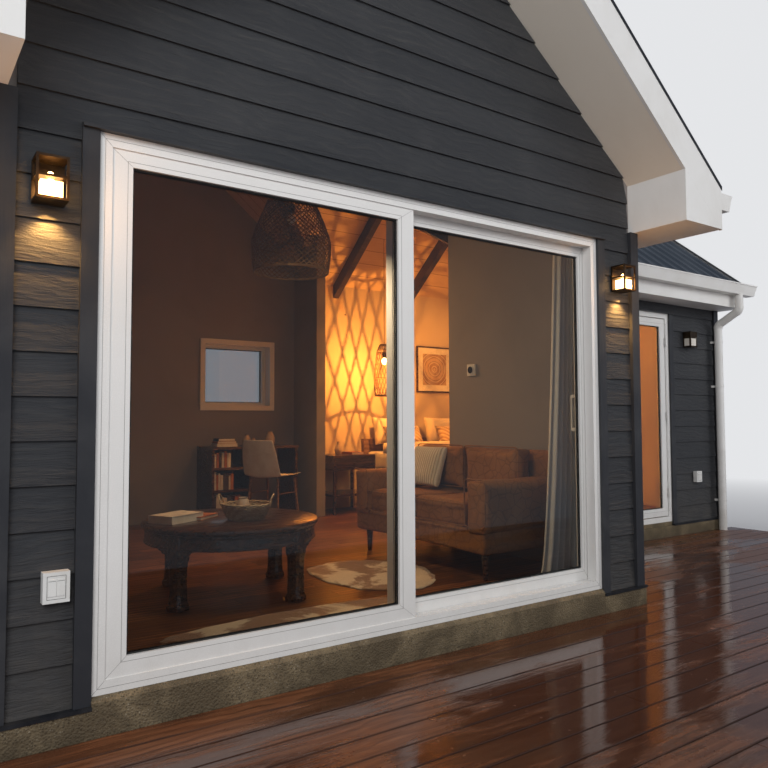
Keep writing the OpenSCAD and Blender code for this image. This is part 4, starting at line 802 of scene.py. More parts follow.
# lanterns: bulb and finial in the open cage; the right one sits a little higher
lanternSizes = {"glass": 0.074, "lift": 0.008}
lampLow, lampHigh = span("lantern_glasses")
metal, glow, lanternSpots = Pile(), Pile(), []
for side, x in enumerate((lampLow.x + lanternSizes["glass"] / 2, lampHigh.x - lanternSizes["glass"] / 2)):
    y, lift = (lampLow.y + lampHigh.y) / 2, side * lanternSizes["lift"]
    glow.lathe((x, y, lampHigh.z - 0.004 + lift),
               [(0.010, 0.0), (0.016, 0.012), (0.015, 0.024), (0.006, 0.034)], 16)
    metal.lathe((x, y, lampLow.z - 0.006 + lift), [(0.022, 0.0), (0.024, 0.003), (0.020, 0.005)], 20)
    lanternSpots.append((x, lampHigh.y - 0.020, lampLow.z - 0.024))
metal.piece("lanternFinials", bronze, "bronze", 40)
glow.piece("lanternBulbs", bulbGlow, "lamp_glass", 40)

# dark folded edge on each barge board
capSizes = {"thick": 0.003, "out": 0.003, "down": 0.022, "lap": 0.045, "rise": 0.215, "past": 0.006,
            "mainReach": 2.165, "rangeReach": 1.665}
bargeLow, bargeHigh = span("barge_boards")
upright = 1 / math.cos(math.radians(wallSizes["pitch"]))
pile = Pile()
for way, face, middle, apex, reach in (
        ((0, 1, 0), bargeLow.y, 0.0, blockApex, capSizes["mainReach"]),
        ((0, -1, 0), bargeHigh.y, 0.0, blockApex, capSizes["mainReach"]),
        ((-1, 0, 0), bargeHigh.x, ridgeY, rangeApex, capSizes["rangeReach"])):
    across = Vector(way)
    for side in (-1, 1):
        edge = [Vector((middle + side * u, face, z) if way[1] else (face, middle + side * u, z)) for u, z in
                [(u, apex + capSizes["rise"] * upright - slope * u)
                 for u in (0.0, reach + capSizes["past"])]]
        near = [p - across * capSizes["out"] for p in edge]
        pile.prism(near + [p + across * capSizes["lap"] for p in edge[::-1]],
                   (0, 0, capSizes["thick"] * upright))
        pile.prism(near + [p - Vector((0, 0, capSizes["down"])) for p in near[::-1]],
                   across * capSizes["thick"])
pile.piece("bargeCaps", flashingMetal, "roof_metal")


def roofScrews():
    # hexagon heads on washers beside each rib, in rows across the slopes
    look = {"rows": (0.10, 0.95, 1.80, 2.50), "pitch": 0.19, "beside": 0.045, "edge": 0.03,
            "parts": ((0.010, 0.0016, 10), (0.0064, 0.0062, 6))}  # radius, height and sides
    pile = Pile()
    for node, ridge, axis in (("main_roof_sheets", 0.0, 0), ("range_roof_sheets", ridgeY, 1)):
        low, high = span(node)
        tree = BVHTree.FromObject(nodes[node], bpy.context.evaluated_depsgraph_get())
        along = 1 - axis
        start = 0.0 if axis else low[along]
        count = int((high[along] - start) / look["pitch"])
        first = start + (high[along] - start - (count - 1) * look["pitch"]) / 2 + look["beside"]
        for sideways, k in [(side * row, k) for side in (-1, 1) for row in look["rows"]
                            for k in range(count)]:
            spot = Vector((0, 0, 6.0))
            spot[axis] = ridge + sideways * math.cos(math.atan(slope))
            spot[along] = first + k * look["pitch"]
            hit, normal = tree.ray_cast(spot, Vector((0, 0, -1)))[:2]
            if (hit is None or normal.z < 0.7
                    or not low[axis] + look["edge"] < hit[axis] < high[axis] - look["edge"]):
                continue
            level = normal.orthogonal().normalized()
            upwards = normal.cross(level)
            for radius, height, sides in look["parts"]:
                pile.prism([hit + (level * c + upwards * s) * radius for c, s in circle(sides)],
                           normal * height)
    pile.piece("roofScrews", flashingMetal, "roof_metal")


def deckBoards():
    # boards with eased edges and two screws at every joist
    look = {"board": 0.135, "gap": 0.005, "ease": 0.003, "joists": 0.45, "shortest": 0.1, "narrowest": 0.015}
    low, high = span("deck_boards")
    pile, screws = Pile(), Pile()
    pitch = look["board"] + look["gap"]
    rangeStop = rangeFace - 0.025
    y = plinthFront
    rows = []
    while y - look["board"] > low.y - 0.001:
        rows.append((y - look["board"], y, low.x, high.x))
        y -= pitch
    rows.append((low.y, y, low.x, high.x))
    y = plinthFront + look["gap"]
    while y + look["board"] < rangeStop:
        rows.append((y, y + look["board"], blockHalf + 0.025, high.x))
        y += pitch
    rows.append((y, rangeStop, blockHalf + 0.025, high.x))
    ease, top, foot = look["ease"], high.z, low.z
    for y0, y1, x0, x1 in rows:
        if y1 - y0 < look["narrowest"]:
            continue
        joint = x0 + (x1 - x0) * random.uniform(0.3, 0.7)
        joint = round(joint / look["joists"]) * look["joists"]
        for a, b in ((x0, joint - 0.002), (joint + 0.002, x1)):
            if b - a < look["shortest"]:
                continue
            pile.prism([(a, y0, foot), (a, y1, foot), (a, y1, top - ease), (a, y1 - ease, top),
                        (a, y0 + ease, top), (a, y0, top - ease)], (b - a, 0, 0))
            x = math.ceil((a + 0.03) / look["joists"]) * look["joists"]
            while x < b - 0.02:
                for y in (y0 + 0.03, y1 - 0.03):
                    if y1 - y0 > look["shortest"]:
                        screws.lathe((x, y, top - 0.002),
                                     [(0.0045, 0.0), (0.0045, 0.0021), (0.0015, 0.0016)], 8)
                x += look["joists"]
    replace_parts(pile.piece("deckBoards", deckTimber, "deck_timber"), "deck_boards")
    screws.piece("deckScrews", hingeSteel, "deck_timber")


def switchParts():
    # a recessed plate with two rockers on each box
    look = {"width": 0.089, "rim": 0.013, "rocker": 0.027, "tall": 0.060, "proud": 0.003, "line": 0.0012}
    low, high = span("wall_switches")
    plates, lines = Pile(), Pile()
    z, tall, wide = (low.z + high.z) / 2, look["tall"] / 2, look["rocker"]
    for x, face in ((low.x + look["width"] / 2, low.y), (high.x - look["width"] / 2, rangeFace - 0.040)):
        half, rise = look["width"] / 2 - look["rim"], (high.z - low.z) / 2 - look["rim"]
        lines.rim((x - half, face - 0.0006, z - rise), (x + half, face + 0.0004, z + rise), look["line"],
                  True)
        for side in (-1, 1):
            at = x + side * (wide / 2 + 0.001)
            plates.prism([(at - wide / 2, y, h) for y, h in
                          ((face + 0.0005, z - tall), (face + 0.0005, z + tall), (face - 0.0012, z + tall),
                           (face - look["proud"], z - tall))], (wide, 0, 0))
            lines.box((at - 0.0125, face - 0.0020, z + 0.0225), (at + 0.0125, face + 0.0002, z + 0.0235))
    bevel(plates.piece("switchRockers", switchPlastic, "white_plastic"), 0.0006)
    lines.piece("switchLines", gasket, "white_plastic")


def rangeLampParts():
    # unlit lamp beside the deck door: opal panes between thin bars, under a lip
    look = {"foot": 2.055, "height": 0.158, "width": 0.110, "depth": 0.080, "bar": 0.007, "proud": 0.0035,
            "lip": 0.56}
    x1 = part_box("wall_lamps")[1][0]
    x0, front, back = x1 - look["width"], rangeFace - look["depth"], rangeFace
    z0, z1 = look["foot"], look["foot"] + look["height"]
    middle = z0 + look["height"] * look["lip"]
    bar, out = look["bar"], look["proud"]
    panes, bars = Pile(), Pile()
    panes.box((x0 + 2 * bar, front - out * 0.5, z0 + 2 * bar), (x1 - 2 * bar, front + 0.001, middle))
    for x, way in ((x0, -1), (x1, 1)):
        inner, outer = sorted((x - way * 0.001, x + way * out * 0.5))
        panes.box((inner, front + 2 * bar, z0 + 2 * bar), (outer, back - 2 * bar, middle))
        inner, outer = sorted((x - way * bar, x + way * out))
        for y in (front - out, back - bar - 0.004):
            bars.box((inner, y, z0), (outer, y + bar + out, z1))
    for z in (z0, middle, z1 - bar):
        bars.box((x0 - out, front - out, z), (x1 + out, front + bar, z + bar))
        for inner, outer in ((x0 - out, x0 + bar), (x1 - bar, x1 + out)):
            bars.box((inner, front - out, z), (outer, back - 0.004, z + bar))
    panes.piece("rangeLampPanes", opalGlass, "lamp_glass")
    bars.piece("rangeLampBars", bronze, "bronze")


roofScrews()
deckBoards()
switchParts()
rangeLampParts()
print("roof, deck, frames and lamps dressed")


# soft goods: blocks and pillows blown up as cloth, then held close to their first shape
def softGrid(low, high, step, pull):
    # a closed box with a fine grid; its sides draw in by pull between the corners
    low, high = Vector(low), Vector(high)
    middle, half = (low + high) / 2, (high - low) / 2
    count = [max(2, round(2 * half[i] / step)) for i in range(3)]
    index, points, faces = {}, [], []

    def corner(key):
        if key not in index:
            part = [2 * key[i] / count[i] - 1 for i in range(3)]
            index[key] = len(points)
            place = []
            for i in range(3):
                # sides bow inwards between the corners, along the longer way of the face
                others = [j for j in range(3) if j != i]
                longest = max(half[j] for j in others)
                bow = max(1 - part[j] ** 2 for j in others if half[j] == longest)
                inwards = pull if half[i] > pull * 4 else 0
                place.append(middle[i] + half[i] * part[i] - inwards * part[i] * bow)
            points.append(Vector(place))
        return index[key]

    for axis in range(3):
        a, b = (axis + 1) % 3, (axis + 2) % 3
        for end in (0, count[axis]):
            for i in range(count[a]):
                for j in range(count[b]):
                    ring = []
                    for di, dj in ((0, 0), (1, 0), (1, 1), (0, 1)):
                        key = [0, 0, 0]
                        key[axis], key[a], key[b] = end, i + di, j + dj
                        ring.append(corner(tuple(key)))
                    faces.append(ring if end else ring[::-1])
    return points, faces


def puffed(mesh, pressure, frames, cap):
    # cloth simulation with inner pressure; no point moves further than cap
    look = {"quality": 5, "mass": 0.3, "tension_stiffness": 12, "compression_stiffness": 12,
            "shear_stiffness": 5, "bending_stiffness": 0.4, "use_pressure": True,
            "uniform_pressure_force": pressure, "shrink_min": 0.0}
    scene = bpy.context.scene
    body = bpy.data.objects.new("puffing", mesh)
    scene.collection.objects.link(body)
    cloth = body.modifiers.new("puff", "CLOTH")
    for key, value in look.items():
        setattr(cloth.settings, key, value)
    cloth.settings.effector_weights.gravity = 0
    cloth.collision_settings.use_self_collision = False
    cloth.point_cache.frame_start = 1
    cloth.point_cache.frame_end = frames
    for frameNumber in range(1, frames + 1):
        scene.frame_set(frameNumber)
    blown = body.evaluated_get(bpy.context.evaluated_depsgraph_get()).data
    for vertex, after in zip(mesh.vertices, [v.co.copy() for v in blown.vertices]):
        move = after - vertex.co
        vertex.co += move.normalized() * min(move.length, cap)
    bpy.data.objects.remove(body)
    scene.frame_set(1)
    mesh.update()
    return mesh


def softPiece(name, mesh, material):
    piece = newPiece(name, mesh, material, 0)
    smooth = piece.modifiers.new("smooth", "SUBSURF")
    smooth.levels = 1
    smooth.render_levels = 1
    return piece


def blockPiece(name, blocks, by, material, step, pull, frames, cap):
    # blocks are (low, high) corners, each drawn in by the swelling that the cloth gains
    inward = Vector((by, by, by))
    pile = Pile()
    for low, high in blocks:
        pile.add(*softGrid(Vector(low) + inward, Vector(high) - inward, step, pull))
    return softPiece(name, puffed(pile.mesh(name), 4.0, frames, cap), material)


def pillowPiece(name, pillows, material):
    # each pillow: two sheets sewn along their edges, blown up; (middle, across, up, width, height, thick)
    look = {"grid": 22, "pinch": 0.055, "cap": 0.012, "fill": 0.8}
    pile = Pile()
    count = look["grid"]
    for middle, across, up, width, height, thick in pillows:
        middle, across, up = Vector(middle), Vector(across).normalized(), Vector(up).normalized()
        out = across.cross(up)
        first, points, faces = {}, [], []
        for side in (-1, 1):
            for i in range(count + 1):
                for j in range(count + 1):
                    u, v = 2 * i / count - 1, 2 * j / count - 1
                    edge = i in (0, count) or j in (0, count)
                    if edge and side == 1:
                        continue
                    pinch, sink = (1 - look["pinch"] * (1 - w * w) for w in (v, u))
                    swell = 0 if edge else thick / 2 * ((1 - u ** 4) * (1 - v ** 4)) ** 0.45
                    first[(side, i, j)] = len(points)
                    points.append(middle + across * (u * pinch * width / 2) + up * (v * sink * height / 2)
                                  + out * side * swell)
            for i in range(count):
                for j in range(count):
                    ring = [first.get((side, a, b), first.get((-1, a, b))) for a, b in
                            ((i, j), (i + 1, j), (i + 1, j + 1), (i, j + 1))]
                    faces.append(ring if side == 1 else ring[::-1])
        pile.add(points, faces)
    softPiece(name, puffed(pile.mesh(name), 3.0, 12, look["cap"]), material)


def pipedEdge(pile, low, high, axis, face, radius):
    # a closed cord round the face of a block that looks along the given axis
    soft = 0.03
    route = []
    for sideA, sideB, start in ((-1, -1, 180), (1, -1, 270), (1, 1, 0), (-1, 1, 90)):
        for turn in [math.radians(start + 30 * k) for k in range(4)]:
            point = [face] * 3
            for i, side, reach in (((axis + 1) % 3, sideA, math.cos(turn)),
                                   ((axis + 2) % 3, sideB, math.sin(turn))):
                point[i] = (low[i] + high[i]) / 2 + side * ((high[i] - low[i]) / 2 - soft) + soft * reach
            route.append(point)
    pile.tube(route, radius, 6, closed=True)


def sofa():
    # leather base and arms, loose cushions, piped seams, tapered legs
    s = {"leg": 0.15, "base": 0.30, "arm": 0.61, "armWide": 0.19, "back": 0.79, "backThick": 0.16,
         "cushion": 0.17, "swell": 0.012, "piping": 0.0045}
    low, high = span("sofa_frame")
    x0, y0, floor = low
    x1, y1 = high.x - 0.006, high.y
    backX, armTop = x1 - s["backThick"], floor + s["arm"]
    arms = [((x0, a, floor + s["base"] - 0.03), (backX + 0.03, a + s["armWide"], armTop))
            for a in (y0, y1 - s["armWide"])]
    back = ((backX, y0, floor + s["leg"] + 0.03), (x1, y1, floor + s["back"]))
    base = ((x0 + 0.004, y0 + 0.003, floor + s["leg"]), (x1, y1 - 0.003, floor + s["base"] + 0.02))
    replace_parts(blockPiece("sofaBody", [base, back] + arms, s["swell"], leather, 0.034, 0.004,
                           10, s["swell"] * 0.9), "sofa_frame")
    seatLow = floor + s["base"] + 0.004
    seatTop = seatLow + s["cushion"]
    inY0, inY1 = y0 + s["armWide"], y1 - s["armWide"]
    middle = (inY0 + inY1) / 2
    seats = [((x0, a, seatLow), (backX, b, seatTop)) for a, b in ((inY0, middle), (middle, inY1))]
    backs = [((backX - s["cushion"], a, seatTop - 0.004), (backX, b, floor + s["back"] - 0.002))
             for a, b in ((inY0, middle), (middle, inY1))]
    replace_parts(blockPiece("sofaCushions", seats + backs, 0.014, leather, 0.032, 0.010, 12,
                           0.016), "sofa_cushions")
    seams = Pile()
    for low, high in seats:
        for z in (low[2] + 0.020, high[2] - 0.020):
            pipedEdge(seams, low, (high[0] - 0.02, high[1], high[2]), 2, z, s["piping"])
    for low, high in backs:
        pipedEdge(seams, (low[0], low[1], low[2] + 0.02), high, 0, low[0] + 0.016, s["piping"])
    for low, high in arms:
        pipedEdge(seams, (low[0], low[1] + 0.004, low[2] + 0.05), (high[0], high[1] - 0.004, high[2]), 0,
                  low[0] + 0.012, s["piping"])
    seams.piece("sofaPiping", leather, "tan_leather", 60)
    legs = Pile()
    for x in (x0 + 0.095, x1 - 0.089):
        for y in (y0 + 0.095, y1 - 0.095):
            legs.lathe((x, y, floor), [(0.0, 0.0), (0.012, 0.0), (0.014, 0.004), (0.017, 0.05), (0.021, 0.11),
                                       (0.024, s["leg"] + 0.012), (0.0, s["leg"] + 0.012)], 20)
    legs.piece("sofaLegs", furnitureTimber, "dark_timber", 40)
    pillowPiece("sofaPillow", [((backX - s["cushion"] - 0.055, inY1 - 0.20, seatTop + 0.155), (0, 1, 0),
                                (0.34, 0.02, 1), 0.36, 0.31, 0.13)], ribbedLinen)


def bed():
    # mattress, duvet folded back, two pillows against two more
    low, high = span("bed_linen")
    x0, y0, z0 = low
    x1, y1, top = high.x, high.y, z0 + 0.30
    by = 0.014
    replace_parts(blockPiece("mattress", [((x0, y0, z0), (x1, y1, top - 0.07))], by, linenPale, 0.05,
                           0.004, 8, 0.012), "bed_linen")
    blockPiece("duvet", [((x0, y0, z0 + 0.12), (x1, y1 - 0.42, top - 0.012)),
                         ((x0 + 0.01, y1 - 0.62, top - 0.105), (x1 - 0.01, y1 - 0.30, top + 0.03))], by,
               linenWarm, 0.04, 0.008, 10, 0.020)
    wide = (x1 - x0) / 2
    middles = [x0 + (i + 0.5) * wide for i in range(2)]
    pillowPiece("bedPillows", [((x, y1 - 0.085, top + 0.145), (1, 0, 0), (0, 0.22, 1), wide - 0.10, 0.34,
                                0.13) for x in middles], linenWarm)
    pillowPiece("bedScatterPillows", [((x + 0.03, y1 - 0.205, top + 0.085), (1, 0, 0), (0, 0.50, 1),
                                       wide - 0.22, 0.27, 0.11) for x in middles], tuftedLinen)


def roundTable():
    # moulded top, apron, four stout legs with carved brackets
    s = {"top": 0.035, "apron": 0.075, "leg": 0.085, "lip": 0.015, "turn": 29.0, "reed": 0.0035,
         # share of the leg's place, half width, and how far the arrises are cut
         "leg profile": ((0.0, 0.046, 0.30), (0.022, 0.048, 0.30), (0.030, 0.044, 0.30),
                         (0.040, 0.040, 0.34), (0.110, 0.037, 0.34)),
         "bracket": ((0.040, 0.004), (0.120, 0.004), (0.104, -0.006), (0.090, -0.010), (0.082, -0.022),
                     (0.066, -0.026), (0.058, -0.042), (0.040, -0.060))}
    low, high = span("coffee_table")
    centre = Vector(((low.x + high.x) / 2, (low.y + high.y) / 2, low.z))
    radius, height = (high.x - low.x) / 2, high.z - low.z
    board = height - s["top"]
    under = board - s["apron"]
    rim = radius - s["lip"]
    pile, reeds = Pile(), Pile()
    pile.lathe(centre, [
        (0.0, board), (radius - 0.030, board), (radius - 0.014, board + 0.002),
        (radius - 0.006, board + 0.007),
        (radius - 0.004, board + 0.012), (radius, board + 0.016), (radius, height - 0.010),
        (radius - 0.004, height - 0.004), (radius - 0.012, height), (0.0, height)], 120)
    pile.lathe(centre, [
        (rim - 0.030, under), (rim - 0.004, under), (rim, under + 0.004), (rim, under + 0.011),
        (rim - 0.005, under + 0.016), (rim - 0.006, board - 0.014), (rim, board - 0.009),
        (rim, board + 0.002), (rim - 0.030, board + 0.002)], 120)
    profile = s["leg profile"] + (
        (under * 0.62, 0.0375, 0.34), (under * 0.78, 0.040, 0.30), (under * 0.84, 0.0435, 0.22),
        (under + 0.004, 0.0435, 0.20), (board - 0.002, 0.043, 0.20))
    for i in range(4):
        angle = math.radians(s["turn"] + 90 * i)
        out = Vector((math.cos(angle), math.sin(angle), 0))
        side = Vector((-out.y, out.x, 0))
        axis = centre + out * (rim - s["leg"] / 2)
        pile.loft([[axis + out * size * a + side * size * b + Vector((0, 0, z)) for a, b in
                    ((-1, cut - 1), (-1, 1 - cut), (cut - 1, 1), (1 - cut, 1), (1, 1 - cut), (1, cut - 1),
                     (1 - cut, -1), (cut - 1, -1))] for z, size, cut in profile])
        # reeds down the middle of each face
        for face, along in ((out, side), (-out, side), (side, out), (-side, out)):
            for shift in (-0.012, 0.0, 0.012):
                foot = axis + face * 0.0375 + along * shift
                reeds.tube([foot + Vector((0, 0, 0.045)), foot + Vector((0, 0, under * 0.60))], s["reed"], 8)
        for way in (-1, 1):
            pile.prism([axis + side * way * u + out * 0.030 + Vector((0, 0, under + w))
                        for u, w in s["bracket"]],
                       out * -0.026)
    table = pile.piece("roundTable", furnitureTimber, "dark_timber", 35)
    bevel(table, 0.0025, 2, 40)
    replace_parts(table, "coffee_table")
    reeds.piece("tableReeds", furnitureTimber, "dark_timber", 60)
    return centre.x, centre.y, high.z


sofa()
bed()
tableTop = roundTable()
print("sofa, bed and table built")


# woven shades: crossing strands between hoops, with their flexes and bulbs
shadeSizes = {"strand": 0.0026, "hoop": 0.00385, "capRings": 6, "capSpokes": 14}
ceilingHigh = span("woven_shades")[1]
lampX, lampY = 2.298, 3.498  # middle of the lamp beside the bed
shades = (
    {"x": 0.0, "y": 1.25, "foot": 2.26, "height": 0.53, "low": 0.255, "top": 0.1581, "strands": 40,
     "twist": 0.42, "rows": 30, "ceiling": ceilingHigh.z - 0.002, "bulb": "pendantBulb", "glow": opalGlass},
    {"x": lampX, "y": lampY, "foot": 1.58, "height": 0.56, "low": 0.112, "top": 0.084, "strands": 20,
     "twist": 0.26, "rows": 34, "ceiling": rangeApex - abs(lampY - ridgeY) * slope - 0.006,
     "bulb": "lampBulb", "glow": bulbGlow})


def shadeRadius(part, share):
    # the bell's outline: a slightly narrowed foot, a belly and a shoulder that closes to the top
    low, top = part["low"] - 0.004, part["top"] - 0.002
    if share < 0.35:
        return low * (0.93 + 0.07 * math.sin(share / 0.35 * math.pi / 2))
    if share < 0.84:
        return low + (top - low) * ((share - 0.35) / 0.49) ** 1.25
    return top * (1 - 0.42 * ((share - 0.84) / 0.16) ** 1.6)


def wovenShade(pile, part):
    strand, strands, rows = shadeSizes["strand"], part["strands"], part["rows"]
    centre = Vector((part["x"], part["y"], part["foot"]))
    height = part["height"] - 0.008
    for way in (-1, 1):
        for k in range(strands):
            route = []
            for i in range(rows + 1):
                share = i / rows
                angle = 2 * math.pi * k / strands + way * part["twist"] * 2 * math.pi * share
                radius = shadeRadius(part, share) + 0.0016 * (1 if (i + k) % 2 else -1) * way
                route.append(centre + Vector((radius * math.cos(angle), radius * math.sin(angle),
                                              share * height)))
            pile.tube(route, strand, 5)
    hoops = [(shadeRadius(part, share), 0.004 + share * (height - 0.004), shadeSizes["hoop"] * size, 64, 6)
             for share, size in ((0.0, 1.5), (0.012, 1.2), (0.35, 0.7), (0.84, 1.0), (1.0, 1.3))]
    # closed cap woven in rings
    inner = shadeRadius(part, 1.0)
    rings, spokes = shadeSizes["capRings"], shadeSizes["capSpokes"]
    hoops += [(inner * k / rings, height, strand, 40, 5) for k in range(1, rings)]
    for radius, z, thick, steps, sides in hoops:
        pile.tube([centre + Vector((radius * c, radius * s, z)) for c, s in circle(steps)], thick, sides,
                  closed=True)
    top = centre + Vector((0, 0, height))
    for c, s in circle(spokes):
        pile.tube([top, top + Vector((inner * c, inner * s, 0))], strand, 5)


weave, metal = Pile(), Pile()
for part in shades:
    wovenShade(weave, part)
    x, y = part["x"], part["y"]
    top = part["foot"] + part["height"] - 0.012
    metal.tube([(x, y, top - 0.10), (x, y, part["ceiling"])], 0.0032, 8)
    metal.lathe((x, y, top - 0.13), [(0.0, 0.0), (0.019, 0.0), (0.021, 0.006), (0.021, 0.052),
                                     (0.012, 0.062), (0.0, 0.062)], 20)
    bulb = Pile()
    bulb.lathe((x, y, top - 0.13), [(0.030 * math.sin(math.pi * i / 10) ** 0.8, -0.085 * i / 10)
                                    for i in range(10, -1, -1)], 20)
    bulb.piece(part["bulb"], part["glow"], "lamp_glass", 60)
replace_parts(weave.piece("openShades", cane, "woven_cane", 60), "woven_shades")
metal.piece("shadeFlexes", bronze, "bronze", 50)


def wallPicture():
    # the node holds the picture and, nearer the front, the thermostat on the side wall
    look = {"x": (3.158, 3.705), "z": (1.660, 2.218), "frame": 0.016, "mat": 0.075, "depth": 0.026}
    (x0, x1), (z0, z1) = look["x"], look["z"]
    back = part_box("wall_picture")[1][1]
    front = back - look["depth"]
    frame, mat, sheet = Pile(), Pile(), Pile()
    frame.rim((x0, front, z0), (x1, back, z1), look["frame"])
    frame.box((x0 + 0.004, back - 0.006, z0 + 0.004), (x1 - 0.004, back - 0.0004, z1 - 0.004))
    piece = frame.piece("pictureFrame", furnitureTimber, "dark_timber")
    bevel(piece, 0.002)
    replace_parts(piece, "wall_picture")
    inset = look["frame"] - 0.001
    mat.rim((x0 + inset, front + 0.008, z0 + inset), (x1 - inset, front + 0.0105, z1 - inset), look["mat"])
    mat.piece("pictureMat", pagePaper, "linen")
    inset += look["mat"] - 0.004
    sheet.box((x0 + inset, front + 0.0112, z0 + inset), (x1 - inset, front + 0.0125, z1 - inset))
    sheet.piece("pictureSheet", abstractPrint, "linen")


def thermostat():
    # square plate with a round dial on the block's side wall
    look = {"wall": 1.608, "y": 1.293, "z": 1.662, "size": 0.09, "plate": 0.034, "dial": 0.027}
    wall, y, z, size = (look[key] for key in ("wall", "y", "z", "size"))
    plate, dial = Pile(), Pile()
    plate.box((wall - 0.014, y, z), (wall, y + size, z + size))
    for pile, out, radius, deep in ((plate, 0.014, look["plate"], 0.007),
                                    (dial, 0.021, look["dial"], 0.002)):
        pile.prism([(wall - out, y + size / 2 + radius * c, z + size / 2 + radius * s)
                    for c, s in circle(40)],
                   (-deep, 0, 0))
    bevel(plate.piece("thermostatPlate", switchPlastic, "white_plastic", 40), 0.0025, 3)
    dial.piece("thermostatDial", gasket, "white_plastic", 40)


wallPicture()
thermostat()
print("shades and picture built")


rest = 0.0006  # gap under a thing that stands loose


def curtain():
    # sheer curtain gathered on its rail, narrow at the top and spread at the floor
    s = {"topWidth": 0.24, "footWidth": 0.412, "folds": 7, "cut": 0.80, "drop": 2.06, "deepest": 0.0265,
         "rows": 36, "samples": 60, "thick": 0.0012, "brackets": 4, "rings": 9}
    low, high = span("curtain")
    railLow = high.z - 0.030
    middleY, x1, foot = (low.y + high.y) / 2, high.x - 0.004, low.z + 0.004
    columns = s["folds"] * 12
    points = []
    for r in range(s["rows"] + 1):
        t = r / s["rows"]
        z = foot + t * (railLow - 0.012 - foot)
        width = s["footWidth"] + (s["topWidth"] - s["footWidth"]) * t ** 0.55
        # depth of the folds that keeps the cloth's own width, found by halving
        least, most = 0.0, 0.2
        for step in range(22):
            depth = (least + most) / 2
            length = 0.0
            for k in range(s["samples"]):
                turn = 2 * math.pi * s["folds"] * (k + 0.5) / s["samples"]
                rise = depth * 2 * math.pi * s["folds"] / width * math.cos(turn)
                length += width / s["samples"] * math.sqrt(1 + rise * rise)
            least, most = (depth, most) if length < s["cut"] else (least, depth)
        depth = min(depth, s["deepest"])
        for u in [c / columns for c in range(columns + 1)]:
            sway = 0.125 * math.sin(5.3 * t + 2.1 * u) * (1 - t)
            points.append((x1 - width * (1 - u),
                           middleY + depth * math.sin(2 * math.pi * s["folds"] * u + sway), z))
    sheet = newPiece("sheerCurtain", meshOf("sheerCurtain", points, gridFaces(s["rows"], columns)),
                     sheerCloth, 0)
    thicken(sheet, s["thick"], 0)
    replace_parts(sheet, "curtain")
    rail = Pile()
    rail.tube([(low.x + 0.02, middleY, railLow + 0.016), (high.x - 0.01, middleY, railLow + 0.016)], 0.009,
              12)
    for x in (low.x + 0.012, high.x - 0.012):
        rail.lathe((x, middleY, railLow + 0.004),
                   [(0.0, 0.0), (0.010, 0.002), (0.012, 0.012), (0.010, 0.022), (0.0, 0.024)], 16)
    for k in range(s["brackets"]):
        x = low.x + 0.15 + k * (high.x - low.x - 0.30) / (s["brackets"] - 1)
        rail.box((x - 0.006, low.y - 0.022, railLow + 0.010), (x + 0.006, middleY, railLow + 0.022))
    for k in range(s["rings"]):
        x = x1 - s["topWidth"] + 0.008 + k * (s["topWidth"] - 0.016) / (s["rings"] - 1)
        rail.tube([(x, middleY + 0.0115 * c, railLow + 0.0145 + 0.0125 * w) for c, w in circle(16)], 0.0013,
                  5, closed=True)
    rail.piece("curtainRail", bronze, "bronze", 50)


def hideRug(name, x, y, length, width, seed):
    # a ragged outline, laid flat with an edge that lifts a little
    look = {"thick": 0.0035, "ragged": 0.10, "lift": 0.0015, "around": 144, "across": 10}
    rnd = random.Random(seed)
    waves = [(rnd.uniform(0, 6.28), k, rnd.uniform(0.3, 1.0)) for k in (3, 5, 8, 13, 21, 34)]
    around, across = look["around"], look["across"]
    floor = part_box("hide_rug")[0][2] + 0.001
    edge = []
    for angle in [2 * math.pi * a / around for a in range(around)]:
        wave = sum(size * math.sin(k * angle + phase) / k ** 0.6 for phase, k, size in waves)
        reach = 1 - look["ragged"] * (1.0 + wave * 0.55)
        edge.append((length / 2 * reach * math.cos(angle), width / 2 * reach * math.sin(angle)))
    points = [(x, y, floor)]
    for share in [r / across for r in range(1, across + 1)]:
        for u, v in edge:
            lift = look["lift"] * share ** 4 * (1 + math.sin(9 * u / length * 6.28)) / 2
            points.append((x + u * share, y + v * share, floor + lift))
    area = sum(a[0] * b[1] - b[0] * a[1] for a, b in zip(edge, edge[1:] + edge[:1])) / 2
    faces = [[0, 1 + a, 1 + (a + 1) % around] for a in range(around)]
    faces += [[1 + r * around + a, 1 + (r + 1) * around + a, 1 + (r + 1) * around + (a + 1) % around,
               1 + r * around + (a + 1) % around] for r in range(across - 1) for a in range(around)]
    rug = newPiece(name, meshOf(name, points, faces), hide, 0)
    thicken(rug, look["thick"], 1)
    return rug


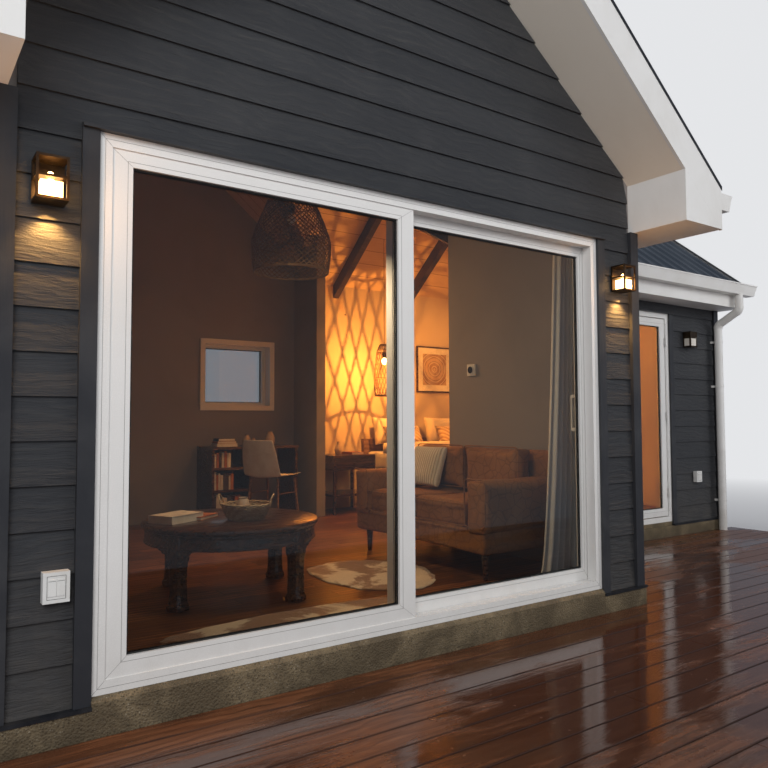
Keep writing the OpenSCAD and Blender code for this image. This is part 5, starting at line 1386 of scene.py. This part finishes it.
def basket(x, y, top):
    # wicker basket with two handles, a jar inside
    s = {"low": 0.098, "high": 0.132, "height": 0.085, "rows": 9, "stakes": 28}
    weave, jar = Pile(), Pile()

    def route(places):
        # places are (radius, cosine, sine, height)
        return [(x + r * c, y + r * w, top + z) for r, c, w, z in places]

    for r in range(s["rows"]):
        t = r / (s["rows"] - 1)
        radius = s["low"] + (s["high"] - s["low"]) * t ** 0.8
        weave.tube(route([(radius + 0.0040 * (1 if (k + r) % 2 else -1), c, w,
                           0.009 + t * (s["height"] - 0.018))
                          for k, (c, w) in enumerate(circle(s["stakes"] * 2))]), 0.0046, 5, closed=True)
    for k in range(s["stakes"]):
        angle = 2 * math.pi * (k + 0.25) / s["stakes"]
        weave.tube(route([(r, math.cos(angle), math.sin(angle), z) for r, z in
                          ((s["low"] - 0.002, 0.005), (s["low"] + 0.014, 0.028), (s["high"] - 0.006, 0.060),
                           (s["high"] + 0.001, s["height"] + 0.004))]), 0.0033, 5)
    for strand in (0.0, math.pi):
        weave.tube(route([(s["high"] + 0.003 * math.cos(9 * a + strand), math.cos(a), math.sin(a),
                           s["height"] + 0.0035 * math.sin(9 * a + strand))
                          for a in [2 * math.pi * k / 90 for k in range(90)]]), 0.0046, 6, closed=True)
    for side in (-1, 1):
        across, along = Vector((0.82 * side, -0.57 * side, 0)), Vector((0.57, 0.82, 0))
        middle = Vector((x, y, top)) + across * s["high"]
        for turn in (0.0, math.pi):
            weave.tube([middle + along * (0.042 * math.cos(t * math.pi) + 0.0032 * math.cos(t * 16 + turn))
                        + across * (0.022 * math.sin(t * math.pi) + 0.002 * math.sin(t * 16 + turn))
                        + Vector((0, 0, s["height"] - 0.004 + 0.058 * math.sin(t * math.pi)))
                        for t in [k / 16 for k in range(17)]], 0.0036, 6)
    weave.lathe((x, y, top + rest), [(0.0, 0.0), (s["low"] - 0.002, 0.0), (s["low"], 0.006), (0.0, 0.006)],
                40)
    weave.piece("wickerBasket", paleCane, "woven_cane", 60)
    jar.lathe((x - 0.01, y + 0.02, top + 0.008), [
        (0.0, 0.0), (0.033, 0.0), (0.037, 0.010), (0.037, 0.070), (0.030, 0.095), (0.024, 0.104),
        (0.027, 0.112), (0.023, 0.112), (0.020, 0.104), (0.0, 0.040)], 28)
    jar.piece("basketJar", glazedClay, "linen", 40)


class Books:
    # cover boards and page blocks, gathered by colour
    def __init__(self):
        self.covers = [Pile() for cloth in bookCloths]
        self.pages = Pile()

    def add(self, corner, wide, deep, thick, tint):
        # wide runs from the spine, deep along it, thick across the boards
        corner, wide, deep, thick = Vector(corner), Vector(wide), Vector(deep), Vector(thick)
        board = thick.normalized() * 0.0025
        spine, back = wide.normalized() * 0.003, deep.normalized() * 0.003
        cover = self.covers[tint]
        for start in (corner, corner + thick - board):
            cover.prism([start, start + wide, start + wide + deep, start + deep], board)
        cover.prism([corner, corner + spine, corner + spine + deep, corner + deep], thick)
        inner = corner + spine + back + board
        wide, deep = wide - spine * 2, deep - back * 2
        self.pages.prism([inner, inner + wide, inner + wide + deep, inner + deep], thick - board * 2)

    def make(self, name):
        for letter, pile, cloth in zip("ABC", self.covers, bookCloths):
            if pile.points:
                pile.piece(name + "Covers" + letter, cloth, "linen")
        self.pages.piece(name + "Pages", pagePaper, "linen")


def tableBooks(x, y, top):
    books = Books()
    for shiftX, shiftY, wide, deep, thick, turn, tint in ((-0.30, 0.05, 0.17, 0.25, 0.042, -62, 1),
                                                          (-0.15, 0.10, 0.13, 0.20, 0.018, -50, 0)):
        angle = math.radians(turn)
        across = Vector((math.cos(angle), math.sin(angle), 0))
        away = Vector((-across.y, across.x, 0))
        corner = Vector((x + shiftX, y + shiftY, top + rest)) - across * wide / 2 - away * deep / 2
        books.add(corner, across * wide, away * deep, (0, 0, thick), tint)
    books.make("tableBook")


def deskThings():
    # desk under the rear window: books in the bay, a stack and small jars on top
    look = {"shelves": ((0.084, 9), (0.314, 8), (0.524, 6)),  # height and number of books
            "stack": ((0.21, 0.030, 1), (0.19, 0.022, 0), (0.17, 0.026, 2)),  # width, thickness, tint
            "jars": ((0.40, 0.14, 1.0), (0.50, 0.20, 0.7), (0.66, 0.16, 1.25)),  # place and size
            "profile": ((0.0, 0.0), (0.030, 0.0), (0.038, 0.012), (0.040, 0.060), (0.028, 0.085),
                        (0.018, 0.105), (0.021, 0.112), (0.017, 0.112), (0.014, 0.104), (0.0, 0.030))}
    low, high = span("small_furniture")
    deskX, deskY, top = low.x, high.y - 0.42, high.z
    books, jars = Books(), Pile()
    rnd = random.Random(21)
    for shelf, count in look["shelves"]:
        x = deskX + 0.030
        for k in range(count):
            thick = rnd.uniform(0.018, 0.042)
            tall = rnd.uniform(0.13, 0.185) if shelf < 0.5 else rnd.uniform(0.12, 0.155)
            deep = rnd.uniform(0.12, 0.17)
            books.add((x, deskY + 0.05, low.z + shelf + rest), (0, deep, 0), (0, 0, tall), (thick, 0, 0),
                      rnd.choice((0, 1, 1, 2)))
            x += thick + 0.0008
    z = top + rest
    for k, (wide, thick, tint) in enumerate(look["stack"]):
        books.add((deskX + 0.07 + 0.01 * k, deskY + 0.08 + 0.008 * k, z), (wide, 0, 0), (0, wide * 0.75, 0),
                  (0, 0, thick), tint)
        z += thick
    books.make("deskBook")
    for dx, dy, size in look["jars"]:
        jars.lathe((deskX + dx, deskY + dy, top + 0.0005),
                   [(r * size, z * size) for r, z in look["profile"]], 28)
    jars.piece("deskJars", glazedClay, "linen", 40)


def sideThings():
    # small jar, book and drawer pull on the table beside the bed
    low, high = span("small_furniture")
    x, y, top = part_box("bed_base")[0][0] - 0.66, high.y - 0.50, low.z + 0.605
    vase, pull, book = Pile(), Pile(), Books()
    vase.lathe((x + 0.17, y + 0.20, top + 0.0005), [
        (0.0, 0.0), (0.024, 0.0), (0.036, 0.020), (0.040, 0.050), (0.030, 0.080), (0.015, 0.100),
        (0.013, 0.130), (0.017, 0.138), (0.014, 0.138), (0.010, 0.128), (0.0, 0.060)], 28)
    vase.piece("sideVase", glazedClay, "linen", 40)
    book.add((x + 0.28, y + 0.10, top + rest), (0.15, 0, 0), (0, 0.21, 0), (0, 0, 0.024), 0)
    book.make("sideBook")
    pull.lathe((x + 0.255, y + 0.004, low.z + 0.515), [(0.0, -0.010), (0.009, -0.008), (0.011, 0.0),
                                                       (0.009, 0.008), (0.0, 0.010)], 16)
    pull.piece("drawerPull", bronze, "bronze", 50)


def shellChair():
    # moulded shell chair in place of the plain one
    look = {"place": (0.90, 3.328, 0), "turn": -62, "seat": 0.44, "thick": 0.006, "columns": 16, "rows": 22}
    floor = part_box("desk_chair")[0][2]
    turn = math.radians(look["turn"])
    centre, seatZ = Vector(look["place"]), floor + look["seat"]
    across = Vector((math.cos(turn), math.sin(turn), 0))
    away = Vector((-across.y, across.x, 0))

    def at(u, v, z):
        return centre + across * u + away * v + Vector((0, 0, z))

    columns, rows = look["columns"], look["rows"]
    points = []
    for t in [r / rows for r in range(rows + 1)]:
        for u in [2 * c / columns - 1 for c in range(columns + 1)]:
            if t < 0.5:
                s = t / 0.5
                depth = 0.205 - 0.39 * s
                rise = 0.008 + 0.010 * (1 - s) ** 3 + 0.022 * u * u
                half = 0.205 - 0.010 * (1 - s) ** 2
            else:
                s = (t - 0.5) / 0.5
                depth = -0.185 - 0.020 * math.sin(s * math.pi / 2) - 0.055 * s + 0.030 * u * u
                rise = 0.008 + 0.022 * u * u * (1 - s) + 0.345 * s ** 1.15
                half = 0.205 - 0.035 * s ** 2
            corner = 1 - 0.22 * max(0.0, abs(t - 0.5) * 2 - 0.72) ** 1.2 * abs(u) ** 3
            points.append(at(u * half * corner, depth, seatZ + rise))
    shell = newPiece("chairShell", meshOf("chairShell", points, gridFaces(rows, columns)), chairPlastic,
                     0)
    thicken(shell, look["thick"], 0)
    shell.modifiers.new("smooth", "SUBSURF").levels = 1
    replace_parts(shell, "desk_chair")
    legs = Pile()
    for a in (-1, 1):
        for b in (-1, 1):
            head, foot = at(a * 0.150, b * 0.130, seatZ + 0.002), at(a * 0.185, b * 0.172, floor + 0.0005)
            legs.tube([foot, foot + (head - foot) * 0.5, head], 0.011, 12)
        legs.tube([at(a * 0.162, -0.146, seatZ - 0.14), at(a * 0.162, 0.146, seatZ - 0.14)], 0.004, 8)
    legs.piece("chairLegs", bedTimber, "bed_timber", 50)


curtain()
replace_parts(hideRug("doorRug", -0.385, 0.385, 1.50, 0.29, 3), "hide_rug")
hideRug("sofaRug", 0.450, 1.000, 0.80, 1.04, 5)
basket(tableTop[0] + 0.05, tableTop[1] - 0.09, tableTop[2])
tableBooks(*tableTop)
deskThings()
sideThings()
shellChair()
print("curtain, rugs and small things built")


# floor, light and camera
look = {"near": 7.0, "far": 15.0, "floor": (0.62, 0.62, 0.63), "backdrop": (0.78, 0.79, 0.81),
        "ambient": (0.55, 0.57, 0.62), "mirrored": (0.20, 0.21, 0.245), "strength": 0.55, "half": 60}


def studioFloor():
    # far from the object the floor fades into the backdrop, and mirrors see a darker one
    half = look["half"]
    mesh = meshOf("studioFloor", [(-half, -half, 0), (half, -half, 0), (half, half, 0), (-half, half, 0)],
                  [[0, 1, 2, 3]])
    floor = bpy.data.objects.new("studioFloor", mesh)
    bpy.context.scene.collection.objects.link(floor)
    floor.location.z = -0.001
    f = Finish("pale studio floor", Roughness=0.85, Specular_IOR_Level=0.2, Base_Color=look["floor"])
    path = f.node("LightPath")
    away = f.node("VectorMath", {0: f.position}, operation="LENGTH")["Value"]
    seen = path["Is Camera Ray"].calc("MAXIMUM", path["Is Transmission Ray"])
    fade = (away.remap(0.0, 1.0, look["near"], look["far"]) * seen).calc("MAXIMUM", path["Is Glossy Ray"])
    plain = f.node("Emission", {"Color": f.mix(path["Is Glossy Ray"], look["backdrop"], look["mirrored"])})
    blend = f.node("MixShader", {0: fade, 1: Field(f, f.shader.outputs[0]), 2: plain})
    f.plug(blend, f.tree.nodes["Material Output"].inputs["Surface"])
    mesh.materials.append(f.material)


def studioSky():
    world = bpy.data.worlds.new("studio")
    bpy.context.scene.world = world
    world.use_nodes = True
    sky = Tree(world.node_tree)
    back = sky.tree.nodes["Background"].inputs
    path = sky.node("LightPath")
    clear = path["Is Camera Ray"].calc("MAXIMUM", path["Is Transmission Ray"])
    tone = sky.mix(clear, look["ambient"], look["backdrop"])
    sky.plug(sky.mix(path["Is Glossy Ray"], tone, look["mirrored"]), back["Color"])
    sky.plug(clear.calc("MAXIMUM", path["Is Glossy Ray"]).remap(look["strength"], 1.0), back["Strength"])


def light(name, kind, place, power, rgb=(1, 1, 1), aim=None, **settings):
    # lights the room and the walls without showing in glass or wet boards
    data = bpy.data.lights.new(name, kind)
    data.energy = power
    data.color = rgb
    for key, value in settings.items():
        setattr(data, key, value)
    lamp = bpy.data.objects.new(name, data)
    bpy.context.scene.collection.objects.link(lamp)
    lamp.location = place
    if aim:
        lamp.rotation_euler = (Vector(aim) - Vector(place)).to_track_quat("-Z", "Y").to_euler()
    lamp.visible_glossy = False
    lamp.visible_transmission = False


def setCamera():
    shot = {"place": (-2.1144, -2.7992, 1.324), "lens": 33.64, "yaw": 35.027, "pitch": 2.886, "roll": -0.19}
    yaw, pitch, roll = (math.radians(shot[k]) for k in ("yaw", "pitch", "roll"))
    forward = Vector((math.sin(yaw) * math.cos(pitch), math.cos(yaw) * math.cos(pitch), math.sin(pitch)))
    level = Vector((math.cos(yaw), -math.sin(yaw), 0))
    right = level * math.cos(roll) + level.cross(forward) * math.sin(roll)
    data = bpy.data.cameras.new("photoCamera")
    data.sensor_width = 36.0
    data.lens = shot["lens"]
    data.clip_start = 0.05
    data.clip_end = 200
    camera = bpy.data.objects.new("photoCamera", data)
    bpy.context.scene.collection.objects.link(camera)
    matrix = Matrix((right, right.cross(forward), -forward)).transposed().to_4x4()
    matrix.translation = Vector(shot["place"])
    camera.matrix_world = matrix
    bpy.context.scene.camera = camera


studioFloor()
studioSky()
for name, place, aim, size, power, rgb in (
        ("keyLight", (-5.5, -7.5, 6.0), (0.5, 0.0, 1.5), 5.0, 620.0, (1, 1, 1)),
        ("sideLight", (8.0, -5.5, 4.5), (2.0, 0.5, 1.2), 4.0, 260.0, (1, 1, 1)),
        ("backLight", (2.0, 11.0, 6.5), (1.5, 3.0, 1.5), 6.0, 420.0, (1, 1, 1)),
        ("sofaFill", (1.05, 2.75, 2.30), (0.95, 1.0, 0.3), 0.35, 26.0, (1.0, 0.47, 0.16)),
        ("doorFill", (-0.3, 0.45, 2.10), (0.9, 1.0, 0.2), 0.5, 13.0, (1.0, 0.74, 0.46)),
        ("rangeCeilingLight", (3.3, 2.7, 2.9), (3.3, 2.8, 0.4), 1.4, 40.0, (1.0, 0.42, 0.11))):
    light(name, "AREA", place, power, rgb, aim, size=size)
light("bedsideLight", "POINT", (lampX, lampY, 1.86), 80.0, (1.0, 0.36, 0.055), shadow_soft_size=0.004)
for x, y, z in lanternSpots:
    light("lanternPool", "SPOT", (x, y, z), 22.0, (1.0, 0.50, 0.13), shadow_soft_size=0.012,
          spot_size=math.radians(112), spot_blend=0.8)
    light("lanternGlow", "POINT", (x, y - 0.12, z + 0.03), 2.2, (1.0, 0.47, 0.11), shadow_soft_size=0.02)
setCamera()
bpy.context.scene.view_settings.view_transform = "Standard"
print("studio set")
